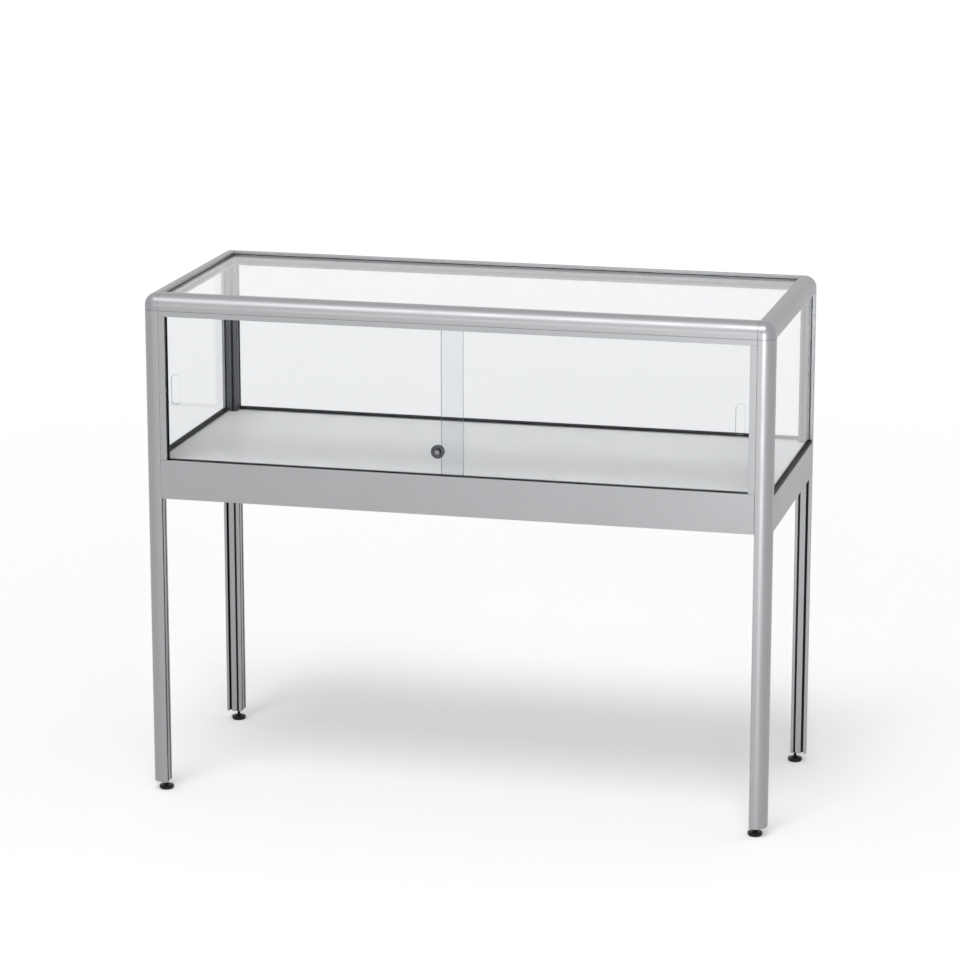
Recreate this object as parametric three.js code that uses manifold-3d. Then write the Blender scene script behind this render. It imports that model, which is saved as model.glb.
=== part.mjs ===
// Table showcase: a low glass case on four full-height aluminium posts, with two sliding glass doors,
// a push lock, a laminated deck and four levelling feet.
// Millimetres, +Z up. The origin is on the floor, under the middle of the case; the doors face -Y.

import * as THREE from 'three';
import { mergeVertices } from 'three/addons/utils/BufferGeometryUtils.js';
import Module from 'manifold-3d';

const wasm = await Module();
wasm.setup();

// ---------------------------------------------------------------------------------------------
// Driving dimensions
// ---------------------------------------------------------------------------------------------

// Overall
const WIDTH = 1200;
const DEPTH = 508;
const HEIGHT = 977;

// Fits
const SEAM = 0.2; // gap kept where two pieces butt together
const PANE_CLEARANCE = 0.3; // running gap between a sliding pane and what guides it
const CURVE_STEPS = 16; // facets in a quarter turn of the profile's round corner
const ROUND_STEPS = 24; // facets round a turned piece

// Quarter-round aluminium profile of the posts and top rails
const PROFILE = 31; // side of its square
const CORNER_RADIUS = 23; // round outer corner
const GROOVE_FROM_FACE = 5.4; // outer face to the glass groove
const GROOVE_WIDTH = 5;
const GROOVE_DEPTH = 8.5;
const SLOT_FROM_FACE = 21.2; // outer face to the second, shallow slot
const SLOT_WIDTH = 4.2;
const SLOT_DEPTH = 3.2;
const PORT_FROM_FACE = 22.5; // outer faces to the axis of the round port
const PORT_RADIUS = 4.1;

// Three-way corner connector
const PIN_LENGTH = 22;
const PIN_SLACK = 0.1; // radial play of a pin in its port
const PIN_ROOT = 3; // how far a pin starts inside the connector

// Base rails
const BASE_BOTTOM = 584; // floor to their underside
const FRONT_BASE_HEIGHT = 75;
const SIDE_BASE_HEIGHT = 67; // side and back rails
const BASE_WALL = 2.5; // outer web and bottom flange
const BASE_FLANGE_REACH = 20; // bottom flange, from the outer face
const LEDGE_THICKNESS = 2.2;
const LEDGE_REACH = 31; // deck ledge, from the outer face
const HEAD_WIDTH = 13; // block that holds the glass groove
const HEAD_FLOOR = 1.5; // metal left under the groove
const FRONT_LIP = 4; // lip in front of the bottom track
const REBATE_DEPTH = 11; // rebate that holds the bottom track
const REBATE_FLOOR = 2;
const REBATE_REAR_WALL = 1.9;

// Angle brackets between base rails and posts
const BRACKET_WALL = 2.5;
const BRACKET_ALONG_RAIL = 29;
const BRACKET_ON_POST = 17;
const BRACKET_HEIGHT = 34;

// Deck
const DECK_THICKNESS = 16;
const DECK_DROP = 1.5; // deck surface below the top of the side rails
const DECK_GAP = 0.3; // round the deck's edge
const DECK_BEDDING = 0.1; // between the deck and the ledges

// Glass and glazing gaskets
const GLASS = 4;
const GLASS_ENTRY = 7.5; // how far a fixed pane stands in its grooves
const GASKET_FIT = 0.05; // gap on each side of a gasket wall
const GASKET_BASE = 0.7; // gasket thickness under the pane's edge
const GASKET_BEAD = 0.8; // gasket showing past the profile's face
const SILL_SEAL_HEIGHT = 4.5; // taller seal on the side and back base rails
const SILL_SEAL_SETBACK = 0.6; // its outer edge, from the rail's face

// Door tracks and jambs, measured inward from the front face
const TRIM_FROM_FACE = 0.6; // front of the jambs and of the top track
const TRIM_WALL = 1.2; // front wall of the top track
const TRACK_FROM_FACE = 5.6; // front of the wall before the left door
const TRACK_WALL = 1.6; // outer walls of the tracks
const TRACK_FIN = 2; // between the two panes
const TRACK_HEIGHT = 10.4;
const TRACK_WEB = 1.5;
const BOTTOM_TRACK_HEIGHT = 9.6;
const TONGUE_LENGTH = 5; // key that holds a track or jamb in the profile's groove
const TONGUE_SIDE_GAP = 0.3;
const JAMB_WALL = 1;
const JAMB_DEPTH = 12.5; // from the post
const LINING_WALL = 0.5;
const LINING_FIT = 0.1;

// Sliding doors
const DOOR_OVERLAP = 44;
const DOOR_MEETING_SHIFT = -1.8; // middle of the overlap, from the middle of the case
const DOOR_LIFT = 4; // room above a pane
const PULL_WIDTH = 17;
const PULL_HEIGHT = 58;
const PULL_DEPTH = 1.2;
const PULL_FROM_POST = 31;

// Lock in the left door, lengths measured inward from the front face
const LOCK_FROM_EDGE = 49; // axis to the door's free edge
const LOCK_ABOVE_SILL = 45;
const LOCK_HOLE_RADIUS = 10;
const LOCK_FLANGE_RADIUS = 13;
const LOCK_FLANGE_THICKNESS = 2;
const LOCK_FLANGE_BEVEL = 0.8;
const LOCK_BARREL_RADIUS = 9.4;
const LOCK_NUT_RADIUS = 12.5;
const LOCK_NUT_THICKNESS = 2;
const LOCK_NUT_SLACK = 0.2;
const PLUNGER_RADIUS = 6.5;
const PLUNGER_SLACK = 0.2;
const PLUNGER_FRONT = 0.5; // its unlocked face, behind the front of the case
const PLUNGER_SHOULDER = 8.5; // end of its wide part
const BOLT_RADIUS = 3.5;
const KEY_CORE_RADIUS = 4.2;
const KEY_CORE_SLACK = 0.2;
const KEY_CORE_LENGTH = 5;
const KEY_SLOT_WIDTH = 1.2;
const KEY_SLOT_HEIGHT = 5.4;
const KEY_SLOT_DEPTH = 2.5;

// Levelling feet
const LEG_CLEARANCE = 18; // floor to the leg's end
const FOOT_RADIUS = 14;
const FOOT_SOLE_RADIUS = 12;
const FOOT_CHAMFER = 2.2;
const FOOT_RIM_TOP = 7.2;
const FOOT_TOP = 10;
const FOOT_NECK_RADIUS = 5;
const FOOT_SOCKET_FLOOR = 3;
const STEM_RADIUS = 3;
const STEM_SOCKET_SLACK = 0.3;
const STEM_THREAD_SLACK = 0.1;
const STEM_IN_LEG = 34;
const INSERT_LENGTH = 24;
const INSERT_SLACK = 0.1;

// ---------------------------------------------------------------------------------------------
// Levels and lines that follow from them
// ---------------------------------------------------------------------------------------------

const RAIL_UNDERSIDE = HEIGHT - PROFILE;
const FRONT_SILL = BASE_BOTTOM + FRONT_BASE_HEIGHT;
const SIDE_SILL = BASE_BOTTOM + SIDE_BASE_HEIGHT;
const DECK_TOP = SIDE_SILL - DECK_DROP;
const LEDGE_TOP = DECK_TOP - DECK_THICKNESS - DECK_BEDDING;
const GLASS_FROM_FACE = GROOVE_FROM_FACE + (GROOVE_WIDTH - GLASS) / 2;
const PANE_INSET = PROFILE - GLASS_ENTRY; // edge of a fixed pane, from the outer face

const OUTER_PANE = TRACK_FROM_FACE + TRACK_WALL + PANE_CLEARANCE; // front of the left door
const FIN = OUTER_PANE + GLASS + PANE_CLEARANCE;
const INNER_PANE = FIN + TRACK_FIN + PANE_CLEARANCE; // front of the right door
const TRACK_REAR_WALL = INNER_PANE + GLASS + PANE_CLEARANCE;
const TRACK_BACK = TRACK_REAR_WALL + TRACK_WALL;
const TRACK_BOTTOM = RAIL_UNDERSIDE - SEAM - TRACK_HEIGHT;
const REBATE_BACK = TRACK_BACK + SEAM;
const FRONT_RAIL_BACK = REBATE_BACK + REBATE_REAR_WALL;
const REBATE_BOTTOM = FRONT_SILL - REBATE_DEPTH;
const BOTTOM_TRACK_FLOOR = REBATE_BOTTOM + SEAM + TRACK_WEB;

const JAMB_START = PROFILE + SEAM;
const DOOR_EDGE = JAMB_START + JAMB_WALL + LINING_FIT + LINING_WALL + PANE_CLEARANCE;
const DOOR_MEETING = WIDTH / 2 + DOOR_MEETING_SHIFT;
const DOOR_WIDTH = DOOR_MEETING + DOOR_OVERLAP / 2 - DOOR_EDGE;
const DOOR_BOTTOM = BOTTOM_TRACK_FLOOR + PANE_CLEARANCE;
const DOOR_TOP = RAIL_UNDERSIDE - SEAM - TRACK_WEB - DOOR_LIFT;
const LOCK_X = DOOR_EDGE + DOOR_WIDTH - LOCK_FROM_EDGE;
const LOCK_Z = FRONT_SILL + LOCK_ABOVE_SILL;
const LOCK_BACK = INNER_PANE - PANE_CLEARANCE;

// ---------------------------------------------------------------------------------------------
// Finishes
// ---------------------------------------------------------------------------------------------

const finish = (color, roughness, metalness, extra = {}) => ({ color, roughness, metalness, ...extra });
const ANODISED = finish(0xb4b5b8, 0.35, 0.9);
const CAST_GREY = finish(0x8e8f93, 0.4, 0.8);
const CLEAR_GLASS = finish(0xeaf2f0, 0.03, 0, { transparent: true, opacity: 0.25 });
const BLACK_RUBBER = finish(0x1c1d1f, 0.75, 0);
const BLACK_PLASTIC = finish(0x141416, 0.45, 0);
const GREY_LAMINATE = finish(0xd7dadb, 0.5, 0);
const DARK_CHROME = finish(0x6c6e73, 0.2, 1);
const STEEL = finish(0x3a3b3e, 0.4, 0.9);

// ---------------------------------------------------------------------------------------------
// Solids
// ---------------------------------------------------------------------------------------------

/** A closed geometry as a solid that can be cut and joined. */
function toSolid(geometry) {
  const bare = geometry.clone();
  bare.deleteAttribute('normal');
  bare.deleteAttribute('uv');
  const merged = mergeVertices(bare, 1e-4);
  return new wasm.Manifold(new wasm.Mesh({
    numProp: 3,
    vertProperties: new Float32Array(merged.attributes.position.array),
    triVerts: new Uint32Array(merged.index.array),
  }));
}

/** A solid as a geometry. */
function toGeometry(solid) {
  const { vertProperties, triVerts } = solid.getMesh();
  const geometry = new THREE.BufferGeometry();
  geometry.setAttribute('position', new THREE.BufferAttribute(vertProperties, 3));
  geometry.setIndex(new THREE.BufferAttribute(triVerts, 1));
  geometry.computeVertexNormals();
  return geometry;
}

/** One geometry with others cut out of it. */
function cut(geometry, ...tools) {
  return toGeometry(tools.reduce((solid, tool) => solid.subtract(toSolid(tool)), toSolid(geometry)));
}

/** Several geometries joined into one body. */
function join(...geometries) {
  return toGeometry(geometries.map(toSolid).reduce((all, solid) => all.add(solid)));
}

/** What several geometries have in common. */
function common(...geometries) {
  return toGeometry(geometries.map(toSolid).reduce((all, solid) => all.intersect(solid)));
}

/** A box between two values on each axis. */
function block([x0, x1], [y0, y1], [z0, z1]) {
  const geometry = new THREE.BoxGeometry(x1 - x0, y1 - y0, z1 - z0);
  return geometry.translate((x0 + x1) / 2, (y0 + y1) / 2, (z0 + z1) / 2);
}

const outline = (points) => new THREE.Shape(points.map(([a, b]) => new THREE.Vector2(a, b)));

/** A section in X and Y, drawn out along Z. */
function drawnUp(shape, from, to) {
  const options = { depth: to - from, bevelEnabled: false, curveSegments: CURVE_STEPS / 2 };
  return new THREE.ExtrudeGeometry(shape, options).translate(0, 0, from);
}

/** Turn a geometry so that X, Y and Z become Y, Z and X. */
const cycled = (geometry) => geometry.clone()
  .applyMatrix4(new THREE.Matrix4().set(0, 0, 1, 0, 1, 0, 0, 0, 0, 1, 0, 0, 0, 0, 0, 1));

/** Turn a geometry over so that X and Y change places and a height z becomes heightSum - z. */
const turnedOver = (geometry, heightSum) => geometry.clone()
  .applyMatrix4(new THREE.Matrix4().set(0, 1, 0, 0, 1, 0, 0, 0, 0, 0, -1, heightSum, 0, 0, 0, 1));

/** A section in Y and Z, drawn out along X. */
const drawnAlong = (shape, from, to) => cycled(drawnUp(shape, from, to));

/** A section in X and Z, drawn out along Y. */
const drawnInward = (shape, from, to) => drawnUp(shape, -to, -from).rotateX(Math.PI / 2);

/** A piece turned about the Y axis, from points [radius, y] that run with rising y on the outside. */
function turnedInward(points, x, z) {
  const profile = points.map(([radius, y]) => new THREE.Vector2(radius, y));
  return new THREE.LatheGeometry(profile, ROUND_STEPS).translate(x, 0, z);
}

/** A piece turned about an upright axis, from points [radius, z] that run with rising z on the outside. */
function turnedUp(points, x, y) {
  const profile = points.map(([radius, z]) => new THREE.Vector2(radius, z));
  return new THREE.LatheGeometry(profile, ROUND_STEPS).rotateX(Math.PI / 2).translate(x, y, 0);
}

/** A plain rod about an upright axis. */
const rodUp = (radius, from, to, x, y) => turnedUp([[0, from], [radius, from], [radius, to], [0, to]], x, y);

function piece(name, geometry, look) {
  const mesh = new THREE.Mesh(geometry, new THREE.MeshStandardMaterial(look));
  mesh.name = name;
  return mesh;
}

// ---------------------------------------------------------------------------------------------
// Sections. A section's first number is measured inward from the outer face.
// ---------------------------------------------------------------------------------------------

/** The profile's outside, without grooves: a square with one round corner at 0, 0. */
function quarterRoundPath(path) {
  path.moveTo(CORNER_RADIUS, 0);
  path.absarc(CORNER_RADIUS, CORNER_RADIUS, CORNER_RADIUS, 1.5 * Math.PI, Math.PI, true);
  path.lineTo(0, PROFILE);
  return path;
}

/** The full profile: two slots in each inner face, and the port. */
function profileSection() {
  const shape = quarterRoundPath(new THREE.Shape());
  const slots = [
    [GROOVE_FROM_FACE, GROOVE_WIDTH, GROOVE_DEPTH],
    [SLOT_FROM_FACE, SLOT_WIDTH, SLOT_DEPTH],
  ];
  for (const [from, width, depth] of slots) {
    shape.lineTo(from, PROFILE);
    shape.lineTo(from, PROFILE - depth);
    shape.lineTo(from + width, PROFILE - depth);
    shape.lineTo(from + width, PROFILE);
  }
  shape.lineTo(PROFILE, PROFILE);
  for (const [from, width, depth] of slots.toReversed()) {
    shape.lineTo(PROFILE, from + width);
    shape.lineTo(PROFILE - depth, from + width);
    shape.lineTo(PROFILE - depth, from);
    shape.lineTo(PROFILE, from);
  }
  shape.lineTo(PROFILE, 0);
  shape.closePath();
  const port = new THREE.Path();
  port.absarc(PORT_FROM_FACE, PORT_FROM_FACE, PORT_RADIUS, 0, 2 * Math.PI, false);
  shape.holes.push(port);
  return shape;
}

/** Side and back base rail: web, bottom flange, deck ledge, and a head with the glass groove. */
function sideBaseSection() {
  const headBottom = SIDE_SILL - GROOVE_DEPTH - HEAD_FLOOR;
  const groove = [GROOVE_FROM_FACE, GROOVE_FROM_FACE + GROOVE_WIDTH];
  return outline([
    [0, BASE_BOTTOM], [BASE_FLANGE_REACH, BASE_BOTTOM],
    [BASE_FLANGE_REACH, BASE_BOTTOM + BASE_WALL], [BASE_WALL, BASE_BOTTOM + BASE_WALL],
    [BASE_WALL, LEDGE_TOP - LEDGE_THICKNESS], [LEDGE_REACH, LEDGE_TOP - LEDGE_THICKNESS],
    [LEDGE_REACH, LEDGE_TOP], [BASE_WALL, LEDGE_TOP],
    [BASE_WALL, headBottom], [HEAD_WIDTH, headBottom], [HEAD_WIDTH, SIDE_SILL],
    [groove[1], SIDE_SILL], [groove[1], SIDE_SILL - GROOVE_DEPTH],
    [groove[0], SIDE_SILL - GROOVE_DEPTH], [groove[0], SIDE_SILL], [0, SIDE_SILL],
  ]);
}

/** Front base rail: taller, with a rebate for the bottom track behind a thin lip. */
function frontBaseSection() {
  return outline([
    [0, BASE_BOTTOM], [BASE_FLANGE_REACH, BASE_BOTTOM],
    [BASE_FLANGE_REACH, BASE_BOTTOM + BASE_WALL], [BASE_WALL, BASE_BOTTOM + BASE_WALL],
    [BASE_WALL, LEDGE_TOP - LEDGE_THICKNESS], [LEDGE_REACH, LEDGE_TOP - LEDGE_THICKNESS],
    [LEDGE_REACH, LEDGE_TOP], [BASE_WALL, LEDGE_TOP],
    [BASE_WALL, REBATE_BOTTOM - REBATE_FLOOR], [FRONT_RAIL_BACK, REBATE_BOTTOM - REBATE_FLOOR],
    [FRONT_RAIL_BACK, FRONT_SILL], [REBATE_BACK, FRONT_SILL], [REBATE_BACK, REBATE_BOTTOM],
    [FRONT_LIP, REBATE_BOTTOM], [FRONT_LIP, FRONT_SILL], [0, FRONT_SILL],
  ]);
}

/**
 * A double track in Y and Z: a web with three walls, a fourth where the track comes forward to the
 * trim line, and a tongue where the web is keyed to a groove.
 */
function trackSection(front, back, web, rim, tongueTip = web.outside) {
  const tongue = [GROOVE_FROM_FACE + TONGUE_SIDE_GAP, GROOVE_FROM_FACE + GROOVE_WIDTH - TONGUE_SIDE_GAP];
  const key = tongueTip === web.outside ? [] : [
    [tongue[1], web.outside], [tongue[1], tongueTip], [tongue[0], tongueTip], [tongue[0], web.outside],
  ];
  const facing = front === TRIM_FROM_FACE ? [
    [front + TRIM_WALL, rim], [front + TRIM_WALL, web.inside],
    [TRACK_FROM_FACE, web.inside], [TRACK_FROM_FACE, rim],
  ] : [];
  return outline([
    [front, web.outside], [front, rim], ...facing,
    [OUTER_PANE - PANE_CLEARANCE, rim], [OUTER_PANE - PANE_CLEARANCE, web.inside],
    [FIN, web.inside], [FIN, rim], [FIN + TRACK_FIN, rim], [FIN + TRACK_FIN, web.inside],
    [TRACK_REAR_WALL, web.inside], [TRACK_REAR_WALL, rim],
    [back, rim], [back, web.outside],
    ...key,
  ]);
}

/** A jamb channel in X and Y: it opens away from the post and is keyed to the post's glass groove. */
function jambSection() {
  const tongue = [GROOVE_FROM_FACE + TONGUE_SIDE_GAP, GROOVE_FROM_FACE + GROOVE_WIDTH - TONGUE_SIDE_GAP];
  return [
    [0, TRIM_FROM_FACE], [JAMB_DEPTH, TRIM_FROM_FACE],
    [JAMB_DEPTH, TRIM_FROM_FACE + JAMB_WALL], [JAMB_WALL, TRIM_FROM_FACE + JAMB_WALL],
    [JAMB_WALL, TRACK_BACK - JAMB_WALL], [JAMB_DEPTH, TRACK_BACK - JAMB_WALL],
    [JAMB_DEPTH, TRACK_BACK], [0, TRACK_BACK],
    [0, tongue[1]], [-TONGUE_LENGTH, tongue[1]], [-TONGUE_LENGTH, tongue[0]], [0, tongue[0]],
  ];
}

/** The glide lining inside a jamb channel: thick before the left door, thin elsewhere. */
function liningSection() {
  const near = TRIM_FROM_FACE + JAMB_WALL + LINING_FIT;
  const seat = OUTER_PANE - PANE_CLEARANCE;
  const far = TRACK_BACK - JAMB_WALL - LINING_FIT;
  const base = JAMB_WALL + LINING_FIT;
  return [
    [base, near], [JAMB_DEPTH, near], [JAMB_DEPTH, seat], [base + LINING_WALL, seat],
    [base + LINING_WALL, far - LINING_WALL], [JAMB_DEPTH, far - LINING_WALL], [JAMB_DEPTH, far], [base, far],
  ];
}

// ---------------------------------------------------------------------------------------------
// Corner pieces, placed at the left end of a side whose outer face is Y = 0
// ---------------------------------------------------------------------------------------------

/** Cube with a ball-shaped outer corner, pockets for the glass corners, and a pin into each profile. */
function connectorGeometry() {
  const plan = quarterRoundPath(new THREE.Shape());
  plan.lineTo(PROFILE, PROFILE);
  plan.lineTo(PROFILE, 0);
  plan.closePath();
  const tall = drawnUp(plan, 0, PROFILE);
  const cube = common(tall, cycled(tall), cycled(cycled(tall)));
  const outerCorner = block([-1, CORNER_RADIUS], [-1, CORNER_RADIUS], [-1, CORNER_RADIUS]);
  const ball = new THREE.SphereGeometry(CORNER_RADIUS, 4 * CURVE_STEPS, 2 * CURVE_STEPS)
    .translate(CORNER_RADIUS, CORNER_RADIUS, CORNER_RADIUS);
  const body = join(cut(cube, outerCorner), common(ball, outerCorner));

  // So far Z is the depth below the top: turn the cube over and lift it into place.
  const placed = turnedOver(body, HEIGHT);

  const entry = [PROFILE - GROOVE_DEPTH, PROFILE + 1];
  const groove = [GROOVE_FROM_FACE, GROOVE_FROM_FACE + GROOVE_WIDTH];
  const fromBelow = [RAIL_UNDERSIDE - 1, RAIL_UNDERSIDE + GROOVE_DEPTH];
  const pockets = [
    block(entry, groove, fromBelow),
    block(groove, entry, fromBelow),
    block(entry, entry, [HEIGHT - groove[1], HEIGHT - groove[0]]),
  ];

  const pinRadius = PORT_RADIUS - PIN_SLACK;
  const pinDown = rodUp(pinRadius, -PIN_LENGTH, PIN_ROOT, PORT_FROM_FACE, PORT_FROM_FACE)
    .translate(0, 0, RAIL_UNDERSIDE);
  const pinLevel = turnedInward(
    [[0, PROFILE - PIN_ROOT], [pinRadius, PROFILE - PIN_ROOT], [pinRadius, PROFILE + PIN_LENGTH],
      [0, PROFILE + PIN_LENGTH]],
    PORT_FROM_FACE, HEIGHT - PORT_FROM_FACE);
  const pinAlong = turnedOver(pinLevel, 2 * (HEIGHT - PORT_FROM_FACE));
  return join(cut(placed, ...pockets), pinDown, pinLevel, pinAlong);
}

function footPadGeometry() {
  return turnedUp([
    [0, 0], [FOOT_SOLE_RADIUS, 0], [FOOT_RADIUS, FOOT_CHAMFER], [FOOT_RADIUS, FOOT_RIM_TOP],
    [FOOT_NECK_RADIUS, FOOT_TOP], [STEM_RADIUS + STEM_SOCKET_SLACK, FOOT_TOP],
    [STEM_RADIUS + STEM_SOCKET_SLACK, FOOT_SOCKET_FLOOR], [0, FOOT_SOCKET_FLOOR],
  ], PORT_FROM_FACE, PORT_FROM_FACE);
}

function footInsertGeometry() {
  const outside = PORT_RADIUS - INSERT_SLACK;
  const inside = STEM_RADIUS + STEM_THREAD_SLACK;
  const top = LEG_CLEARANCE + INSERT_LENGTH;
  return turnedUp([
    [inside, LEG_CLEARANCE], [outside, LEG_CLEARANCE], [outside, top], [inside, top], [inside, LEG_CLEARANCE],
  ], PORT_FROM_FACE, PORT_FROM_FACE);
}

/** The pieces at one corner: post, connector, insert, and the foot's pad and stem. */
function cornerPieces(corner) {
  return [
    piece(`post_${corner}`, drawnUp(profileSection(), LEG_CLEARANCE, RAIL_UNDERSIDE - SEAM), ANODISED),
    piece(`corner_connector_${corner}`, connectorGeometry(), CAST_GREY),
    piece(`foot_insert_${corner}`, footInsertGeometry(), STEEL),
    piece(`foot_stem_${corner}`,
      rodUp(STEM_RADIUS, FOOT_SOCKET_FLOOR + STEM_SOCKET_SLACK, LEG_CLEARANCE + STEM_IN_LEG,
        PORT_FROM_FACE, PORT_FROM_FACE), STEEL),
    piece(`foot_pad_${corner}`, footPadGeometry(), BLACK_PLASTIC),
  ];
}

// ---------------------------------------------------------------------------------------------
// Sides. X runs along the side from its left end, Y runs inward from its outer face.
// ---------------------------------------------------------------------------------------------

const mirrored = (points, length) => points.map(([x, y]) => [length - x, y]).reverse();
const shifted = (points, by) => points.map(([x, y]) => [x + by, y]);

function bracketGeometries(length) {
  const along = PROFILE + SEAM + BRACKET_ALONG_RAIL;
  const section = shifted([
    [0, 0], [BRACKET_ALONG_RAIL, 0], [BRACKET_ALONG_RAIL, BRACKET_WALL], [BRACKET_WALL, BRACKET_WALL],
    [BRACKET_WALL, BRACKET_ON_POST], [0, BRACKET_ON_POST],
  ], along - BRACKET_ALONG_RAIL).map(([x, y]) => [x, y + BASE_WALL + SEAM]);
  const bottom = BASE_BOTTOM + BASE_WALL + SEAM;
  return [section, mirrored(section, length)]
    .map((points) => drawnUp(outline(points), bottom, bottom + BRACKET_HEIGHT));
}

/** The top rail, base rail and brackets that every side has. */
function sideRails(side, length, baseSection) {
  const ends = [PROFILE + SEAM, length - PROFILE - SEAM];
  const topRail = drawnUp(profileSection(), ...ends).rotateY(Math.PI / 2).translate(0, 0, HEIGHT);
  const [left, right] = bracketGeometries(length);
  return [
    piece(`top_rail_${side}`, topRail, ANODISED),
    piece(`base_rail_${side}`, drawnAlong(baseSection, ...ends), ANODISED),
    piece(`rail_bracket_${side}_a`, left, ANODISED),
    piece(`rail_bracket_${side}_b`, right, ANODISED),
  ];
}

/** A gasket of U section round a pane that lies between two values on each of two axes. */
function gasketGeometry(pane, window, arrange) {
  const grow = ([from, to], by) => [from - by, to + by];
  const groove = grow([GROOVE_FROM_FACE, GROOVE_FROM_FACE + GROOVE_WIDTH], -GASKET_FIT);
  const glass = grow([GLASS_FROM_FACE, GLASS_FROM_FACE + GLASS], GASKET_FIT);
  const through = grow(groove, 1);
  return cut(
    arrange(pane.map((span) => grow(span, GASKET_FIT + GASKET_BASE)), groove),
    arrange(pane.map((span) => grow(span, GASKET_FIT)), glass),
    arrange(window, through),
  );
}

/** The fixed pane of a side, and its gasket with the taller seal along the base rail. */
function fixedGlazing(side, length) {
  const pane = [[PANE_INSET, length - PANE_INSET], [SIDE_SILL - GLASS_ENTRY, RAIL_UNDERSIDE + GLASS_ENTRY]];
  const sealTop = SIDE_SILL + SILL_SEAL_HEIGHT;
  const window = [
    [PROFILE + GASKET_BEAD, length - PROFILE - GASKET_BEAD],
    [sealTop, RAIL_UNDERSIDE - GASKET_BEAD],
  ];
  const upright = ([x, z], y) => block(x, y, z);
  const thickness = [GLASS_FROM_FACE, GLASS_FROM_FACE + GLASS];
  const between = [PROFILE + SEAM, length - PROFILE - SEAM];
  const sealLevel = [SIDE_SILL + SEAM, sealTop];
  const gasket = join(
    gasketGeometry(pane, window, upright),
    block(between, [SILL_SEAL_SETBACK, thickness[0] - GASKET_FIT], sealLevel),
    block(between, [thickness[1] + GASKET_FIT, HEAD_WIDTH], sealLevel),
  );
  return [
    piece(`glass_${side}`, upright(pane, thickness), CLEAR_GLASS),
    piece(`gasket_${side}`, gasket, BLACK_RUBBER),
  ];
}

/** The top pane and its gasket, in the frame of the front side. */
function topGlazing() {
  const pane = [[PANE_INSET, WIDTH - PANE_INSET], [PANE_INSET, DEPTH - PANE_INSET]];
  const window = [
    [PROFILE + GASKET_BEAD, WIDTH - PROFILE - GASKET_BEAD],
    [PROFILE + GASKET_BEAD, DEPTH - PROFILE - GASKET_BEAD],
  ];
  const level = ([x, y], [from, to]) => block(x, y, [HEIGHT - to, HEIGHT - from]);
  return [
    piece('glass_top', level(pane, [GLASS_FROM_FACE, GLASS_FROM_FACE + GLASS]), CLEAR_GLASS),
    piece('gasket_top', gasketGeometry(pane, window, level), BLACK_RUBBER),
  ];
}

/** The deck board, notched round the posts, in the frame of the front side. */
function deck() {
  const edge = HEAD_WIDTH + DECK_GAP;
  const front = FRONT_RAIL_BACK + DECK_GAP;
  const post = PROFILE + DECK_GAP;
  const plan = outline([
    [post, front], [WIDTH - post, front], [WIDTH - post, post], [WIDTH - edge, post],
    [WIDTH - edge, DEPTH - post], [WIDTH - post, DEPTH - post], [WIDTH - post, DEPTH - edge],
    [post, DEPTH - edge], [post, DEPTH - post], [edge, DEPTH - post], [edge, post], [post, post],
  ]);
  return piece('deck', drawnUp(plan, DECK_TOP - DECK_THICKNESS, DECK_TOP), GREY_LAMINATE);
}

// ---------------------------------------------------------------------------------------------
// Doors and lock, in the frame of the front side
// ---------------------------------------------------------------------------------------------

/** A tall slot with round ends, ground into a pane's front face. */
function fingerPull(x, paneFront) {
  const z = (DOOR_BOTTOM + DOOR_TOP) / 2;
  const radius = PULL_WIDTH / 2;
  const reach = PULL_HEIGHT / 2 - radius;
  const shape = new THREE.Shape();
  shape.absarc(x, z + reach, radius, 0, Math.PI, false);
  shape.absarc(x, z - reach, radius, Math.PI, 2 * Math.PI, false);
  shape.closePath();
  return drawnInward(shape, paneFront - 1, paneFront + PULL_DEPTH);
}

function doors() {
  const height = [DOOR_BOTTOM, DOOR_TOP];
  const innerEdge = DOOR_MEETING - DOOR_OVERLAP / 2;
  const outerPane = block([DOOR_EDGE, DOOR_EDGE + DOOR_WIDTH], [OUTER_PANE, OUTER_PANE + GLASS], height);
  const innerPane = block([innerEdge, innerEdge + DOOR_WIDTH], [INNER_PANE, INNER_PANE + GLASS], height);
  const lockHole = turnedInward([
    [0, OUTER_PANE - 1], [LOCK_HOLE_RADIUS, OUTER_PANE - 1],
    [LOCK_HOLE_RADIUS, OUTER_PANE + GLASS + 1], [0, OUTER_PANE + GLASS + 1],
  ], LOCK_X, LOCK_Z);
  const pullX = PROFILE + PULL_FROM_POST;
  return [
    piece('door_left_glass', cut(outerPane, lockHole, fingerPull(pullX, OUTER_PANE)), CLEAR_GLASS),
    piece('door_right_glass', cut(innerPane, fingerPull(WIDTH - pullX, INNER_PANE)), CLEAR_GLASS),
  ];
}

function doorTracks() {
  const ends = [PROFILE + SEAM, WIDTH - PROFILE - SEAM];
  const topWeb = { outside: RAIL_UNDERSIDE - SEAM, inside: RAIL_UNDERSIDE - SEAM - TRACK_WEB };
  const bottomWeb = { outside: REBATE_BOTTOM + SEAM, inside: BOTTOM_TRACK_FLOOR };
  const top = trackSection(TRIM_FROM_FACE, TRACK_BACK, topWeb, TRACK_BOTTOM, topWeb.outside + TONGUE_LENGTH);
  const bottom = trackSection(FRONT_LIP + SEAM, TRACK_BACK, bottomWeb, bottomWeb.outside + BOTTOM_TRACK_HEIGHT);
  return [
    piece('door_track_top', drawnAlong(top, ...ends), ANODISED),
    piece('door_track_bottom', drawnAlong(bottom, ...ends), BLACK_PLASTIC),
  ];
}

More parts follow.
